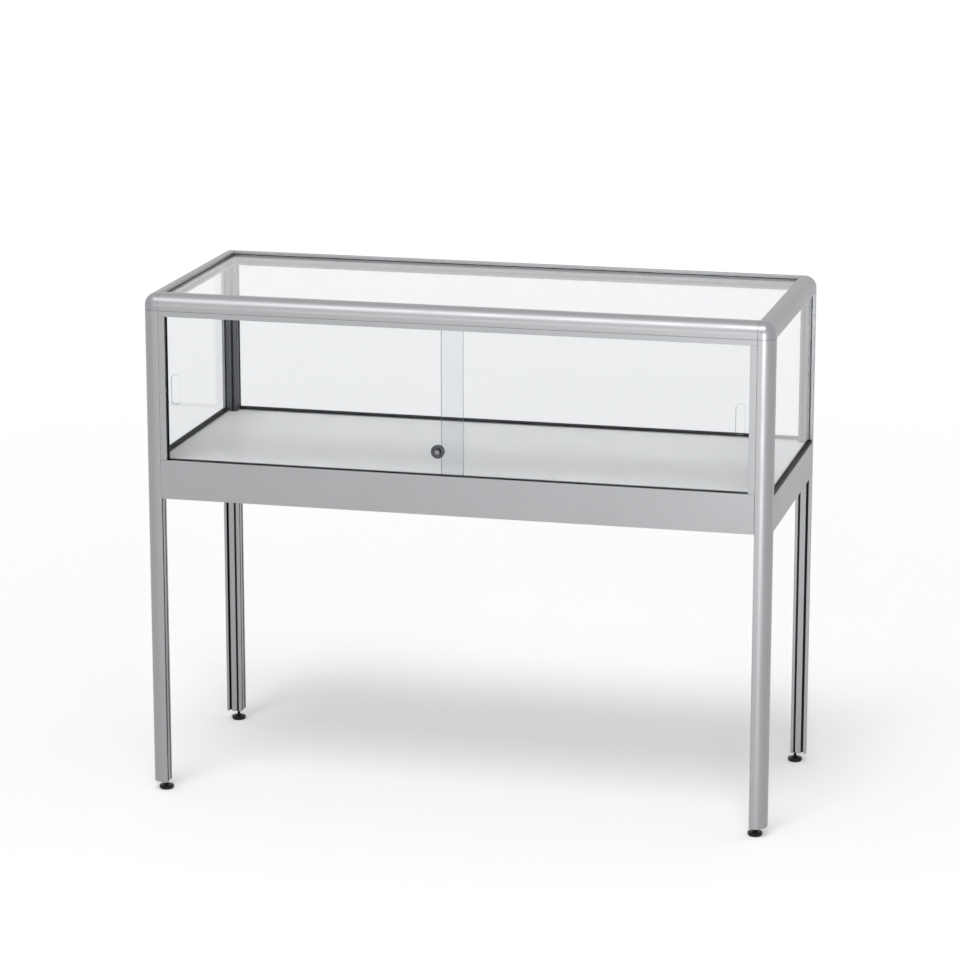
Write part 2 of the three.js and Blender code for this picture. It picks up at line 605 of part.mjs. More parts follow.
function doorJambs() {
  const height = [FRONT_SILL + SEAM, TRACK_BOTTOM - SEAM];
  const build = (points) => drawnUp(outline(points), ...height);
  const left = (points) => shifted(points, JAMB_START);
  const right = (points) => mirrored(left(points), WIDTH);
  return [
    piece('door_jamb_left', build(left(jambSection())), ANODISED),
    piece('door_jamb_right', build(right(jambSection())), ANODISED),
    piece('jamb_lining_left', build(left(liningSection())), BLACK_PLASTIC),
    piece('jamb_lining_right', build(right(liningSection())), BLACK_PLASTIC),
  ];
}

/** Push lock: the flanged barrel and its nut grip the left pane; the plunger carries the key core. */
function lock() {
  const seat = OUTER_PANE - PANE_CLEARANCE;
  const bore = PLUNGER_RADIUS + PLUNGER_SLACK;
  const flangeFront = seat - LOCK_FLANGE_THICKNESS;
  const barrel = turnedInward([
    [bore, flangeFront], [LOCK_FLANGE_RADIUS - LOCK_FLANGE_BEVEL, flangeFront],
    [LOCK_FLANGE_RADIUS, flangeFront + LOCK_FLANGE_BEVEL], [LOCK_FLANGE_RADIUS, seat],
    [LOCK_BARREL_RADIUS, seat], [LOCK_BARREL_RADIUS, LOCK_BACK], [bore, LOCK_BACK], [bore, flangeFront],
  ], LOCK_X, LOCK_Z);

  const nutBack = OUTER_PANE + GLASS + PANE_CLEARANCE + LOCK_NUT_THICKNESS;
  const nutInside = LOCK_BARREL_RADIUS + LOCK_NUT_SLACK;
  const nut = turnedInward([
    [nutInside, nutBack - LOCK_NUT_THICKNESS], [LOCK_NUT_RADIUS, nutBack - LOCK_NUT_THICKNESS],
    [LOCK_NUT_RADIUS, nutBack], [nutInside, nutBack], [nutInside, nutBack - LOCK_NUT_THICKNESS],
  ], LOCK_X, LOCK_Z);

  const socket = KEY_CORE_RADIUS + KEY_CORE_SLACK;
  const socketFloor = PLUNGER_FRONT + KEY_CORE_LENGTH + PANE_CLEARANCE;
  const plunger = turnedInward([
    [0, socketFloor], [socket, socketFloor], [socket, PLUNGER_FRONT], [PLUNGER_RADIUS, PLUNGER_FRONT],
    [PLUNGER_RADIUS, PLUNGER_SHOULDER], [BOLT_RADIUS, PLUNGER_SHOULDER], [BOLT_RADIUS, LOCK_BACK], [0, LOCK_BACK],
  ], LOCK_X, LOCK_Z);

  const core = turnedInward([
    [0, PLUNGER_FRONT], [KEY_CORE_RADIUS, PLUNGER_FRONT],
    [KEY_CORE_RADIUS, PLUNGER_FRONT + KEY_CORE_LENGTH], [0, PLUNGER_FRONT + KEY_CORE_LENGTH],
  ], LOCK_X, LOCK_Z);
  const keySlot = block(
    [LOCK_X - KEY_SLOT_WIDTH / 2, LOCK_X + KEY_SLOT_WIDTH / 2],
    [PLUNGER_FRONT - 1, PLUNGER_FRONT + KEY_SLOT_DEPTH],
    [LOCK_Z - KEY_SLOT_HEIGHT / 2, LOCK_Z + KEY_SLOT_HEIGHT / 2],
  );
  return [
    piece('lock_barrel', barrel, DARK_CHROME),
    piece('lock_nut', nut, DARK_CHROME),
    piece('lock_plunger', plunger, DARK_CHROME),
    piece('lock_core', cut(core, keySlot), DARK_CHROME),
  ];
}

// ---------------------------------------------------------------------------------------------
// Assembly
// ---------------------------------------------------------------------------------------------

/** A side's group: at its left end, turned so that its Y axis points into the case. */
function sideGroup(x, y, quarterTurns, pieces) {
  const group = new THREE.Group();
  group.position.set(x, y, 0);
  group.rotation.z = quarterTurns * Math.PI / 2;
  group.add(...pieces);
  return group;
}

const showcase = new THREE.Group();
showcase.add(
  sideGroup(-WIDTH / 2, -DEPTH / 2, 0, [
    ...cornerPieces('front_left'), ...sideRails('front', WIDTH, frontBaseSection()),
    ...topGlazing(), deck(), ...doorTracks(), ...doorJambs(), ...doors(), ...lock(),
  ]),
  sideGroup(WIDTH / 2, -DEPTH / 2, 1, [
    ...cornerPieces('front_right'), ...sideRails('right', DEPTH, sideBaseSection()),
    ...fixedGlazing('right', DEPTH),
  ]),
  sideGroup(WIDTH / 2, DEPTH / 2, 2, [
    ...cornerPieces('back_right'), ...sideRails('back', WIDTH, sideBaseSection()),
    ...fixedGlazing('back', WIDTH),
  ]),
  sideGroup(-WIDTH / 2, DEPTH / 2, 3, [
    ...cornerPieces('back_left'), ...sideRails('left', DEPTH, sideBaseSection()),
    ...fixedGlazing('left', DEPTH),
  ]),
);

export default showcase;
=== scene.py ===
"""Looks of a table showcase: a low glass case on four aluminium legs, with sliding doors and a push lock.

Sizes are in millimetres and follow the CAD model. A side's own frame has X along the side from its left
end, Y inward from its outer face and Z up, and a corner's pieces are made in the frame of the side that
has the corner at its left end.
"""

from __future__ import annotations

import logging
import math
from dataclasses import dataclass
from enum import Enum
from typing import Callable, ClassVar, Sequence

import bmesh
import bpy
from mathutils import Matrix, Vector

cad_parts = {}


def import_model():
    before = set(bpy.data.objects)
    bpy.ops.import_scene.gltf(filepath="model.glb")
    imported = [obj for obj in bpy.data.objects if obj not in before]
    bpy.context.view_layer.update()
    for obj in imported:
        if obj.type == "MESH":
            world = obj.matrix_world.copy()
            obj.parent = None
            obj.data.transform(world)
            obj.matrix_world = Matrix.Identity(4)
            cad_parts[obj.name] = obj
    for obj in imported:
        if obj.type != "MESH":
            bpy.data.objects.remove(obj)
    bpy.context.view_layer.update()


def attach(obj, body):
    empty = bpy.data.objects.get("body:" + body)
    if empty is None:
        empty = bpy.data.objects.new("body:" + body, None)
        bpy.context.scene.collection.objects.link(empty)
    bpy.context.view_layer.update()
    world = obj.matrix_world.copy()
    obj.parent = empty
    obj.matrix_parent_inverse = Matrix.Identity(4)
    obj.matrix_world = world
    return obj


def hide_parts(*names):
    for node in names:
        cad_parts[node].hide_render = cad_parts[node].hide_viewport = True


LOG = logging.getLogger("showcase")
MM = 0.001

SMOOTH_BELOW = 42  # degrees between two faces that are shaded as one
MERGE_WITHIN = 1e-6  # metres
CAD_MERGE_WITHIN = 2e-6
NEAR = 0.01  # millimetres within which two places are the same
FLAT = 0.9  # a face squares up to an axis where its normal reaches this along it
NOISE_MIDDLE = (0.3, 0.7)  # where nearly all of a noise lies
WAVE_LENGTH = 0.314  # from ring to ring of a wave texture, at scale 1

Point = tuple[float, float]
Corner = tuple[float, float, float]
Piece = bpy.types.Object
Tree = bpy.types.NodeTree
Node = bpy.types.Node
Socket = bpy.types.NodeSocket


# ---- Where things are ----


@dataclass(frozen=True)
class CaseSize:
    """The outside of the showcase and its main levels."""

    width: float = 1200
    depth: float = 508
    height: float = 977
    profile: float = 31
    radius: float = 23
    seam: float = 0.2
    leg_end: float = 18
    base_bottom: float = 584
    deck_top: float = 650
    port: float = 22.5


CASE = CaseSize()


class Side(Enum):
    """The four sides, each with its quarter turns from the front."""

    FRONT = 0
    RIGHT = 1
    BACK = 2
    LEFT = 3

    @property
    def label(self) -> str:
        """The side's name as the CAD nodes have it."""
        return self.name.lower()

    @property
    def corner(self) -> str:
        """The name of the corner at the side's left end."""
        return ("front_left", "front_right", "back_right", "back_left")[self.value]

    @property
    def length(self) -> float:
        """The side's length in millimetres."""
        return CASE.depth if self.axis is Axis.Y else CASE.width

    @property
    def axis(self) -> Axis:
        """The axis that the side runs along."""
        return Axis.Y if self in (Side.RIGHT, Side.LEFT) else Axis.X

    @property
    def place(self) -> Matrix:
        """The matrix from the side's own frame, in metres, to the row frame."""
        x = -CASE.width / 2 if self in (Side.FRONT, Side.LEFT) else CASE.width / 2
        y = -CASE.depth / 2 if self in (Side.FRONT, Side.RIGHT) else CASE.depth / 2
        return Matrix.Translation((x * MM, y * MM, 0)) @ Matrix.Rotation(self.value * math.pi / 2, 4, "Z")


class Axis(Enum):
    """The row frame's axes, for finishes that run along one."""

    X = 0
    Y = 1
    Z = 2


# ---- Modelling moves ----


def only(piece: Piece) -> None:
    """Select one object alone and make it active.

    Args:
        piece: the object.
    """
    bpy.ops.object.select_all(action="DESELECT")
    piece.select_set(True)
    bpy.context.view_layer.objects.active = piece


def settle(piece: Piece, place: Matrix) -> Piece:
    """Move an object by a matrix and put the move into its mesh.

    Args:
        piece: the object, which sits at the origin.
        place: the move, in metres.

    Returns:
        The same object, back at the origin.
    """
    only(piece)
    piece.matrix_world = place
    bpy.ops.object.transform_apply(location=True, rotation=True, scale=True)
    return piece


def add_block(name: str, low: Corner, high: Corner) -> Piece:
    """Add a block between two corners.

    Args:
        name: the new object's name.
        low: its lowest corner, in millimetres.
        high: its highest corner, in millimetres.

    Returns:
        The block, with its place in its mesh.
    """
    bpy.ops.object.select_all(action="DESELECT")
    bpy.ops.mesh.primitive_cube_add(size=1)
    block = bpy.context.active_object
    block.name = block.data.name = name
    size = [(b - a) * MM for a, b in zip(low, high)]
    centre = [(a + b) / 2 * MM for a, b in zip(low, high)]
    return settle(block, Matrix.Translation(centre) @ Matrix.Diagonal((*size, 1)))


def add_rod(name: str, radius: float, bottom: float, top: float, sides: int, at: Point = (0, 0)) -> Piece:
    """Add an upright rod.

    Args:
        name: the new object's name.
        radius: its radius to the corners, in millimetres.
        bottom: the height of its lower end.
        top: the height of its upper end.
        sides: how many flats it has.
        at: the X and Y of its axis.

    Returns:
        The rod, with its place in its mesh.
    """
    bpy.ops.object.select_all(action="DESELECT")
    bpy.ops.mesh.primitive_cylinder_add(vertices=sides, radius=radius * MM, depth=(top - bottom) * MM)
    rod = bpy.context.active_object
    rod.name = rod.data.name = name
    return settle(rod, Matrix.Translation((at[0] * MM, at[1] * MM, (bottom + top) / 2 * MM)))


def draw_line(name: str, points: Sequence[Corner]) -> Piece:
    """Draw a line of edges by extruding one vertex from point to point, and stay in edit mode.

    Args:
        name: the new object's name.
        points: the points, in millimetres.

    Returns:
        The object, in edit mode with its last vertex selected.
    """
    bpy.ops.object.select_all(action="DESELECT")
    bpy.ops.mesh.primitive_plane_add(size=MM)
    line = bpy.context.active_object
    line.name = line.data.name = name
    settle(line, Matrix.Translation(Vector(points[0]) * MM))
    bpy.ops.object.mode_set(mode="EDIT")
    bpy.ops.mesh.select_all(action="SELECT")
    bpy.ops.mesh.merge(type="CENTER")
    for before, after in zip(points, points[1:]):
        step = (Vector(after) - Vector(before)) * MM
        bpy.ops.mesh.extrude_vertices_move(TRANSFORM_OT_translate={"value": step})
    return line


def turn(name: str, outline: Sequence[Point], sides: int) -> Piece:
    """Spin an outline about the upright axis.

    Args:
        name: the new object's name.
        outline: points of radius and height, in millimetres.
        sides: how many facets a full turn has.

    Returns:
        The turned piece, round the Z axis.
    """
    piece = draw_line(name, [(radius, 0, height) for radius, height in outline])
    bpy.ops.mesh.select_all(action="SELECT")
    bpy.ops.mesh.spin(steps=sides, angle=2 * math.pi, center=(0, 0, 0), axis=(0, 0, 1))
    close_up()
    return piece


def draw_out(name: str, section: Sequence[Point], bottom: float, top: float) -> Piece:
    """Fill a section and extrude it upwards.

    Args:
        name: the new object's name.
        section: its corners in X and Y, in millimetres.
        bottom: the height that it starts at.
        top: the height that it ends at.

    Returns:
        The solid piece.
    """
    piece = draw_line(name, [(x, y, bottom) for x, y in section])
    bpy.ops.mesh.select_all(action="SELECT")
    bpy.ops.mesh.edge_face_add()
    bpy.ops.mesh.extrude_region_move(TRANSFORM_OT_translate={"value": (0, 0, (top - bottom) * MM)})
    close_up()
    return piece


def close_up() -> None:
    """In edit mode, merge doubled vertices, turn the faces outwards and go back to object mode."""
    bpy.ops.mesh.select_all(action="SELECT")
    bpy.ops.mesh.remove_doubles(threshold=MERGE_WITHIN)
    bpy.ops.mesh.normals_make_consistent(inside=False)
    bpy.ops.object.mode_set(mode="OBJECT")


def pick_edges(piece: Piece, test: Callable[[Vector, Vector], bool]) -> None:
    """Go to edit mode with only some edges selected.

    Args:
        piece: the object.
        test: says of an edge's two ends, in millimetres, whether the edge is wanted.
    """
    only(piece)
    bpy.ops.object.mode_set(mode="EDIT")
    bpy.ops.mesh.select_mode(type="EDGE")
    bpy.ops.mesh.select_all(action="DESELECT")
    mesh = bmesh.from_edit_mesh(piece.data)
    for edge in mesh.edges:
        a, b = (vertex.co / MM for vertex in edge.verts)
        edge.select_set(test(a, b))
    bmesh.update_edit_mesh(piece.data)


def round_picked(radius: float, steps: int) -> None:
    """Bevel the selected edges and go back to object mode.

    Args:
        radius: in millimetres.
        steps: facets across the bevel.
    """
    bpy.ops.mesh.bevel(offset=radius * MM, segments=steps, profile=0.5, affect="EDGES", clamp_overlap=False)
    bpy.ops.object.mode_set(mode="OBJECT")
    bpy.context.tool_settings.mesh_select_mode = (True, False, False)


def carve(piece: Piece, *tools: Piece) -> Piece:
    """Cut some objects out of another, and remove them.

    Args:
        piece: the object that is cut.
        tools: what is cut out of it.

    Returns:
        The cut object.
    """
    for tool in tools:
        only(piece)
        cut = piece.modifiers.new("cut", "BOOLEAN")
        cut.operation, cut.solver, cut.object = "DIFFERENCE", "EXACT", tool
        bpy.ops.object.modifier_apply(modifier=cut.name)
        bpy.data.objects.remove(tool)
    return piece


def soften(piece: Piece, edge: float, steps: int = 2, limit: float = 35) -> Piece:
    """Round a piece's sharp edges and smooth its shading, with flat faces kept flat.

    Args:
        piece: the object.
        edge: width of the rounding, in millimetres.
        steps: facets across the rounding.
        limit: edges sharper than this many degrees are rounded.

    Returns:
        The same object.
    """
    only(piece)
    if edge:
        bevel = piece.modifiers.new("edges", "BEVEL")
        bevel.width, bevel.segments = edge * MM, steps
        bevel.limit_method, bevel.angle_limit = "ANGLE", math.radians(limit)
        bevel.use_clamp_overlap = True
        bpy.ops.object.modifier_apply(modifier=bevel.name)
    bpy.ops.object.shade_smooth_by_angle(angle=math.radians(SMOOTH_BELOW))
    normals = piece.modifiers.new("normals", "WEIGHTED_NORMAL")
    normals.keep_sharp = True
    bpy.ops.object.modifier_apply(modifier=normals.name)
    return piece


def join(pieces: Sequence[Piece]) -> Piece:
    """Join some pieces.

    Args:
        pieces: the objects.

    Returns:
        The first of them, which holds them all.
    """
    only(pieces[0])
    for piece in pieces:
        piece.select_set(True)
    bpy.ops.object.join()
    return bpy.context.active_object


def copy_of(piece: Piece, name: str) -> Piece:
    """Copy a piece, with a mesh of its own.

    Args:
        piece: the object to copy.
        name: the copy's name.

    Returns:
        The copy.
    """
    only(piece)
    bpy.ops.object.duplicate(linked=False)
    copy = bpy.context.active_object
    copy.name = copy.data.name = name
    return copy


def refined(node: str, name: str, edge: float, steps: int = 2, limit: float = 35) -> Piece:
    """Copy a CAD node's solid and round its edges.

    Args:
        node: the CAD node.
        name: the new piece's name.
        edge: width of the rounding, in millimetres.
        steps: facets across the rounding.
        limit: edges sharper than this many degrees are rounded.

    Returns:
        The new piece, which belongs to no body yet.
    """
    mesh = bpy.data.objects[node].data.copy()
    mesh.name = name
    mesh.materials.clear()
    piece = bpy.data.objects.new(name, mesh)
    bpy.context.scene.collection.objects.link(piece)
    only(piece)
    bpy.ops.mesh.customdata_custom_splitnormals_clear()
    bpy.ops.object.mode_set(mode="EDIT")
    bpy.ops.mesh.select_all(action="SELECT")
    bpy.ops.mesh.remove_doubles(threshold=CAD_MERGE_WITHIN)
    bpy.ops.mesh.dissolve_limited(angle_limit=math.radians(0.5))
    bpy.ops.mesh.vert_connect_concave()
    bpy.ops.object.mode_set(mode="OBJECT")
    return soften(piece, edge, steps, limit)


# ---- Finishes ----


def linear(colour: int, factor: float = 1.0) -> tuple[float, float, float, float]:
    """Turn an sRGB hex colour to linear light.

    Args:
        colour: such as 0xB4B5B8.
        factor: what its linear light is multiplied by.

    Returns:
        Red, green, blue and an alpha of 1.
    """
    parts = [(colour >> shift & 255) / 255 for shift in (16, 8, 0)]
    light = [c / 12.92 if c <= 0.04045 else ((c + 0.055) / 1.055) ** 2.4 for c in parts]
    return (*(min(c * factor, 1.0) for c in light), 1.0)


def add_node(tree: Tree, kind: str, inputs: dict | None = None, **settings: object) -> Node:
    """Add a shader node.

    Args:
        tree: the material's or world's node tree.
        kind: the node's type name.
        inputs: a value for each input, or the output socket that feeds it.
        settings: the node's own settings.

    Returns:
        The node.
    """
    made = tree.nodes.new(kind)
    for name, value in settings.items():
        setattr(made, name, value)
    for name, value in (inputs or {}).items():
        if isinstance(value, Socket):
            tree.links.new(value, made.inputs[name])
        else:
            made.inputs[name].default_value = value
    return made


def grain_noise(tree: Tree, pitch: Corner, detail: float) -> Socket:
    """Noise on the row frame's own coordinates.

    Args:
        tree: the material's nodes.
        pitch: the size of a grain along X, Y and Z, in millimetres.
        detail: how many finer layers it has.

    Returns:
        A value from 0 to 1.
    """
    where = add_node(tree, "ShaderNodeTexCoord").outputs["Object"]
    scale = {"Vector": where, "Scale": [1 / (p * MM) for p in pitch]}
    stretched = add_node(tree, "ShaderNodeMapping", scale).outputs["Vector"]
    noise = add_node(tree, "ShaderNodeTexNoise", {"Vector": stretched, "Scale": 1.0, "Detail": detail})
    return noise.outputs["Fac"]


def spread(tree: Tree, value: Socket, low: float, high: float) -> Socket:
    """Turn the middle of a noise to a range of values.

    Args:
        tree: the material's nodes.
        value: the noise.
        low: the least value.
        high: the greatest value.

    Returns:
        The value's socket.
    """
    least, most = NOISE_MIDDLE
    inputs = {"Value": value, "From Min": least, "From Max": most, "To Min": low, "To Max": high}
    return add_node(tree, "ShaderNodeMapRange", inputs).outputs["Result"]


@dataclass(frozen=True)
class Finish:
    """A surface as one Principled shader draws it; kinds of finish add their pattern."""

    name: str
    colour: int
    roughness: float
    metallic: float = 0.0
    gloss: float = 0.5  # the shader's specular level
    tones: Point = (1.0, 1.0)  # its darkest and lightest, as multiples of the colour
    wear: Point = (0.0, 0.0)  # how far the roughness strays, down and up
    relief: Point = (0.0, 0.0)  # its depth in millimetres, and how much of it shows

    def material(self) -> bpy.types.Material:
        """Make the material, or find the one made before.

        Returns:
            The material of this finish's name.
        """
        if self.name in bpy.data.materials:
            return bpy.data.materials[self.name]
        made = bpy.data.materials.new(self.name)
        made.use_nodes = True
        tree = made.node_tree
        tree.nodes.clear()
        values = {
            "Base Color": linear(self.colour),
            "Roughness": self.roughness,
            "Metallic": self.metallic,
            "Specular IOR Level": self.gloss,
        }
        shader = add_node(tree, "ShaderNodeBsdfPrincipled", values)
        self.pattern(tree, shader)
        add_node(tree, "ShaderNodeOutputMaterial", {"Surface": self.surface(tree, shader)})
        return made

    def pattern(self, tree: Tree, shader: Node) -> None:
        """Add what varies over the surface; a plain finish adds nothing."""

    def surface(self, tree: Tree, shader: Node) -> Socket:
        """Give the socket that the output shows: the shader's own, unless a kind of finish mixes it."""
        return shader.outputs["BSDF"]

    def vary(self, tree: Tree, shader: Node, tone: Socket | None, rough: Socket, height: Socket) -> None:
        """Let patterns drive the colour, the roughness and the relief.

        Args:
            tree: the material's nodes.
            shader: its Principled shader.
            tone: the pattern from the darkest to the lightest tone, if there are tones.
            rough: the pattern of the roughness.
            height: the pattern of the relief, from 0 to 1.
        """
        if tone:
            dark, light = (linear(self.colour, factor) for factor in self.tones)
            ends = {0: spread(tree, tone, 0, 1), 6: dark, 7: light}
            mix = add_node(tree, "ShaderNodeMix", ends, data_type="RGBA")
            tree.links.new(mix.outputs[2], shader.inputs["Base Color"])
        low, high = (self.roughness + part for part in self.wear)
        tree.links.new(spread(tree, rough, low, high), shader.inputs["Roughness"])
        depth, strength = self.relief
        bump = {"Height": height, "Strength": strength, "Distance": depth * MM}
        tree.links.new(add_node(tree, "ShaderNodeBump", bump).outputs["Normal"], shader.inputs["Normal"])


@dataclass(frozen=True)
class AnodisedAluminium(Finish):
    """Extruded 6060 aluminium, etched and naturally anodised: a silky grey metal with faint draw lines along
    the bar, which stretch its highlights and tell the eye which way it was drawn."""

    metallic: float = 1.0
    tones: Point = (0.985, 1.015)
    wear: Point = (-0.03, 0.03)
    relief: Point = (0.02, 0.04)
    grain: Axis = Axis.X
    line_pitch: float = 1.6  # the real lines are about 0.3 mm apart; drawn coarser so that they show
    line_length: float = 160
    cloud: float = 90

    def pattern(self, tree: Tree, shader: Node) -> None:
        """Add the draw lines and the bath's faint clouds.

        Args:
            tree: the material's nodes.
            shader: its Principled shader.
        """
        pitch = tuple(self.line_length if axis is self.grain else self.line_pitch for axis in Axis)
        lines = grain_noise(tree, pitch, 3)
        self.vary(tree, shader, lines, grain_noise(tree, (self.cloud,) * 3, 1), lines)


@dataclass(frozen=True)
class SatinCasting(Finish):
    """Die-cast zinc with a satin nickel coat: a darker, cloudier metal than the bars that it joins."""

    metallic: float = 1.0
    tones: Point = (0.93, 1.06)
    wear: Point = (-0.04, 0.05)
    relief: Point = (0.05, 0.2)
    cloud: float = 7
    skin: float = 1.1

    def pattern(self, tree: Tree, shader: Node) -> None:
        """Add the casting's soft clouds and skin."""
        cloud = grain_noise(tree, (self.cloud,) * 3, 3)
        self.vary(tree, shader, cloud, cloud, grain_noise(tree, (self.skin,) * 3, 2))


@dataclass(frozen=True)
class MouldedBlack(Finish):
    """Nylon, PVC, ABS or rubber from a mould or die, near-black but for the edge band: a fine matt skin that
    catches a little light on its edges."""

    gloss: float = 0.25
    tones: Point = (0.8, 1.25)
    wear: Point = (-0.06, 0.08)
    relief: Point = (0.04, 0.3)
    skin: float = 0.6  # grain of the tool's etched surface

    def pattern(self, tree: Tree, shader: Node) -> None:
        """Add the moulded skin."""
        skin = grain_noise(tree, (self.skin,) * 3, 2)
        self.vary(tree, shader, skin, skin, skin)


@dataclass(frozen=True)
class PearlLaminate(Finish):
    """Melamine laminate pressed with a pearl plate: a cool light grey with tiny soft pits that dull its
    reflections."""

    gloss: float = 0.1
    tones: Point = (0.975, 1.02)
    wear: Point = (-0.05, 0.06)
    relief: Point = (0.05, 0.35)
    paper: float = 60
    pearl: float = 1.4  # real pearls are about 0.8 mm; drawn coarser so that they show

    def pattern(self, tree: Tree, shader: Node) -> None:
        """Add the pearl pits and the paper's faint clouds."""
        pearls = grain_noise(tree, (self.pearl,) * 3, 1)
        self.vary(tree, shader, grain_noise(tree, (self.paper,) * 3, 4), pearls, pearls)


@dataclass(frozen=True)
class TurnedMetal(Finish):
    """Turned steel or brass with a dark plate: fine rings round the lathe's axis spread each highlight across
    the face."""

    metallic: float = 1.0
    wear: Point = (-0.05, 0.07)
    relief: Point = (0.02, 0.25)
    centre: Corner = (0, 0, 0)
    across: Axis = Axis.Y
    ring_pitch: float = 0.9  # real tool marks are 0.1 mm apart; drawn coarser so that they show

    def pattern(self, tree: Tree, shader: Node) -> None:
        """Add the lathe's rings.

        Args:
            tree: the material's nodes.
            shader: its Principled shader.
        """
        where = add_node(tree, "ShaderNodeTexCoord").outputs["Object"]
        centred = {"Vector": where, "Location": [-c * MM for c in self.centre]}
        wave = {
            "Vector": add_node(tree, "ShaderNodeMapping", centred).outputs["Vector"],
            "Scale": WAVE_LENGTH / (self.ring_pitch * MM),
            "Distortion": 0.4,
            "Detail": 1.0,
        }
        made = add_node(tree, "ShaderNodeTexWave", wave, wave_type="RINGS", rings_direction=self.across.name)
        self.vary(tree, shader, None, made.outputs["Fac"], made.outputs["Fac"])


@dataclass(frozen=True)
class FloatGlass(Finish):
    """Clear float glass: nearly colourless through a pane, with mirror-smooth faces. A coat against
    reflections is drawn as a lower IOR. The polished edges look down the sheet, and so are darker and
    greener."""

    roughness: float = 0.0
    ior: float = 1.5
    lets_light: int = 0xFBFCFC

    def pattern(self, tree: Tree, shader: Node) -> None:
        """Make the shader clear."""
        for name, value in (("Transmission Weight", 1.0), ("IOR", self.ior)):
            shader.inputs[name].default_value = value

    def surface(self, tree: Tree, shader: Node) -> Socket:
        """Let lamps shine through the glass.

        Args:
            tree: the material's nodes.
            shader: its Principled shader.

        Returns:
            The glass, or a clear film where a shadow is worked out.
        """
        path = add_node(tree, "ShaderNodeLightPath")
        film = add_node(tree, "ShaderNodeBsdfTransparent", {"Color": linear(self.lets_light)})
        sides = {0: path.outputs["Is Shadow Ray"], 1: shader.outputs["BSDF"], 2: film.outputs["BSDF"]}
        return add_node(tree, "ShaderNodeMixShader", sides).outputs["Shader"]


ALUMINIUM = {
    axis: AnodisedAluminium(f"anodised aluminium, drawn along {axis.name}", 0x9B9C9E, 0.42, grain=axis)
    for axis in Axis
}
# Painted shade: a darker copy of the anodised aluminium for the bars' inner faces that look into the case, so
# the metal there reads as shaded.
INNER_PAINTED_SHADE = {
    axis: AnodisedAluminium(f"grey inner face, drawn along {axis.name}", 0x626366, 0.45, grain=axis)
    for axis in Axis
}
MILL_ALUMINIUM = AnodisedAluminium("mill-finish aluminium bracket", 0x98999B, 0.3, grain=Axis.Z)
BLACK_ZINC = TurnedMetal("black zinc steel", 0x2B2C2F, 0.38, across=Axis.Z)
# Painted shade: near-black on the walls and floors of the bars' grooves and slots, standing in for the shade
# down in them.
SLOT_SHADOW = MouldedBlack("black PVC slot cover", 0x101113, 0.6)
CASTING = SatinCasting("satin nickel zinc casting", 0x98999C, 0.36)
RUBBER = MouldedBlack("extruded EPDM gasket", 0x121314, 0.55)
TRACK_PVC = MouldedBlack("extruded black PVC track", 0x141517, 0.4)
NYLON = MouldedBlack("moulded black nylon foot", 0x0B0B0C, 0.42)
LAMINATE = PearlLaminate("pearl grey melamine laminate", 0xC3C3C3, 0.5)
EDGE_BAND = MouldedBlack("grey ABS edge band", 0xA9ABAD, 0.5, gloss=0.5)
GLASS = FloatGlass("clear float glass", 0xF5F6F7, ior=1.33)
COATED_GLASS = FloatGlass("clear glass with an anti-reflection coat", 0xF5F6F7, ior=1.12)
GLASS_EDGE = FloatGlass("polished glass edge", 0x5F6B67, 0.1)


# ---- The base of every sub-assembly ----


@dataclass
class SubAssembly:
    """What every sub-assembly shares: how a finished piece joins the part."""

    made: ClassVar[list[Piece]] = []

    def hand_over(
        self,
        piece: Piece,
        slot: str,
        finishes: Sequence[Finish],
        nodes: Sequence[str] = (),
        body: str = "frame",
    ) -> None:
        """Dress a piece, set it on its body and log it.

        Args:
            piece: the finished object.
            slot: the record's material slot; it is not used.
            finishes: its finishes, in the order of its faces' material numbers.
            nodes: the CAD nodes that it stands for.
            body: the CAD body that it rides on.
        """
        for finish in finishes:
            piece.data.materials.append(finish.material())
        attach(piece, body)
        if nodes:
            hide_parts(*nodes)
        SubAssembly.made.append(piece)
        LOG.info("%s: %d faces on %s", piece.name, len(piece.data.polygons), body)


def paint_faces(piece: Piece, which: Callable[[Vector, Vector], int]) -> None:
    """Give each face one of the piece's materials.

    Args:
        piece: the object.
        which: gives the material's number for a face's middle, in millimetres, and normal.
    """
    for face in piece.data.polygons:
        face.material_index = int(which(face.center / MM, face.normal))


# ---- Frame ----


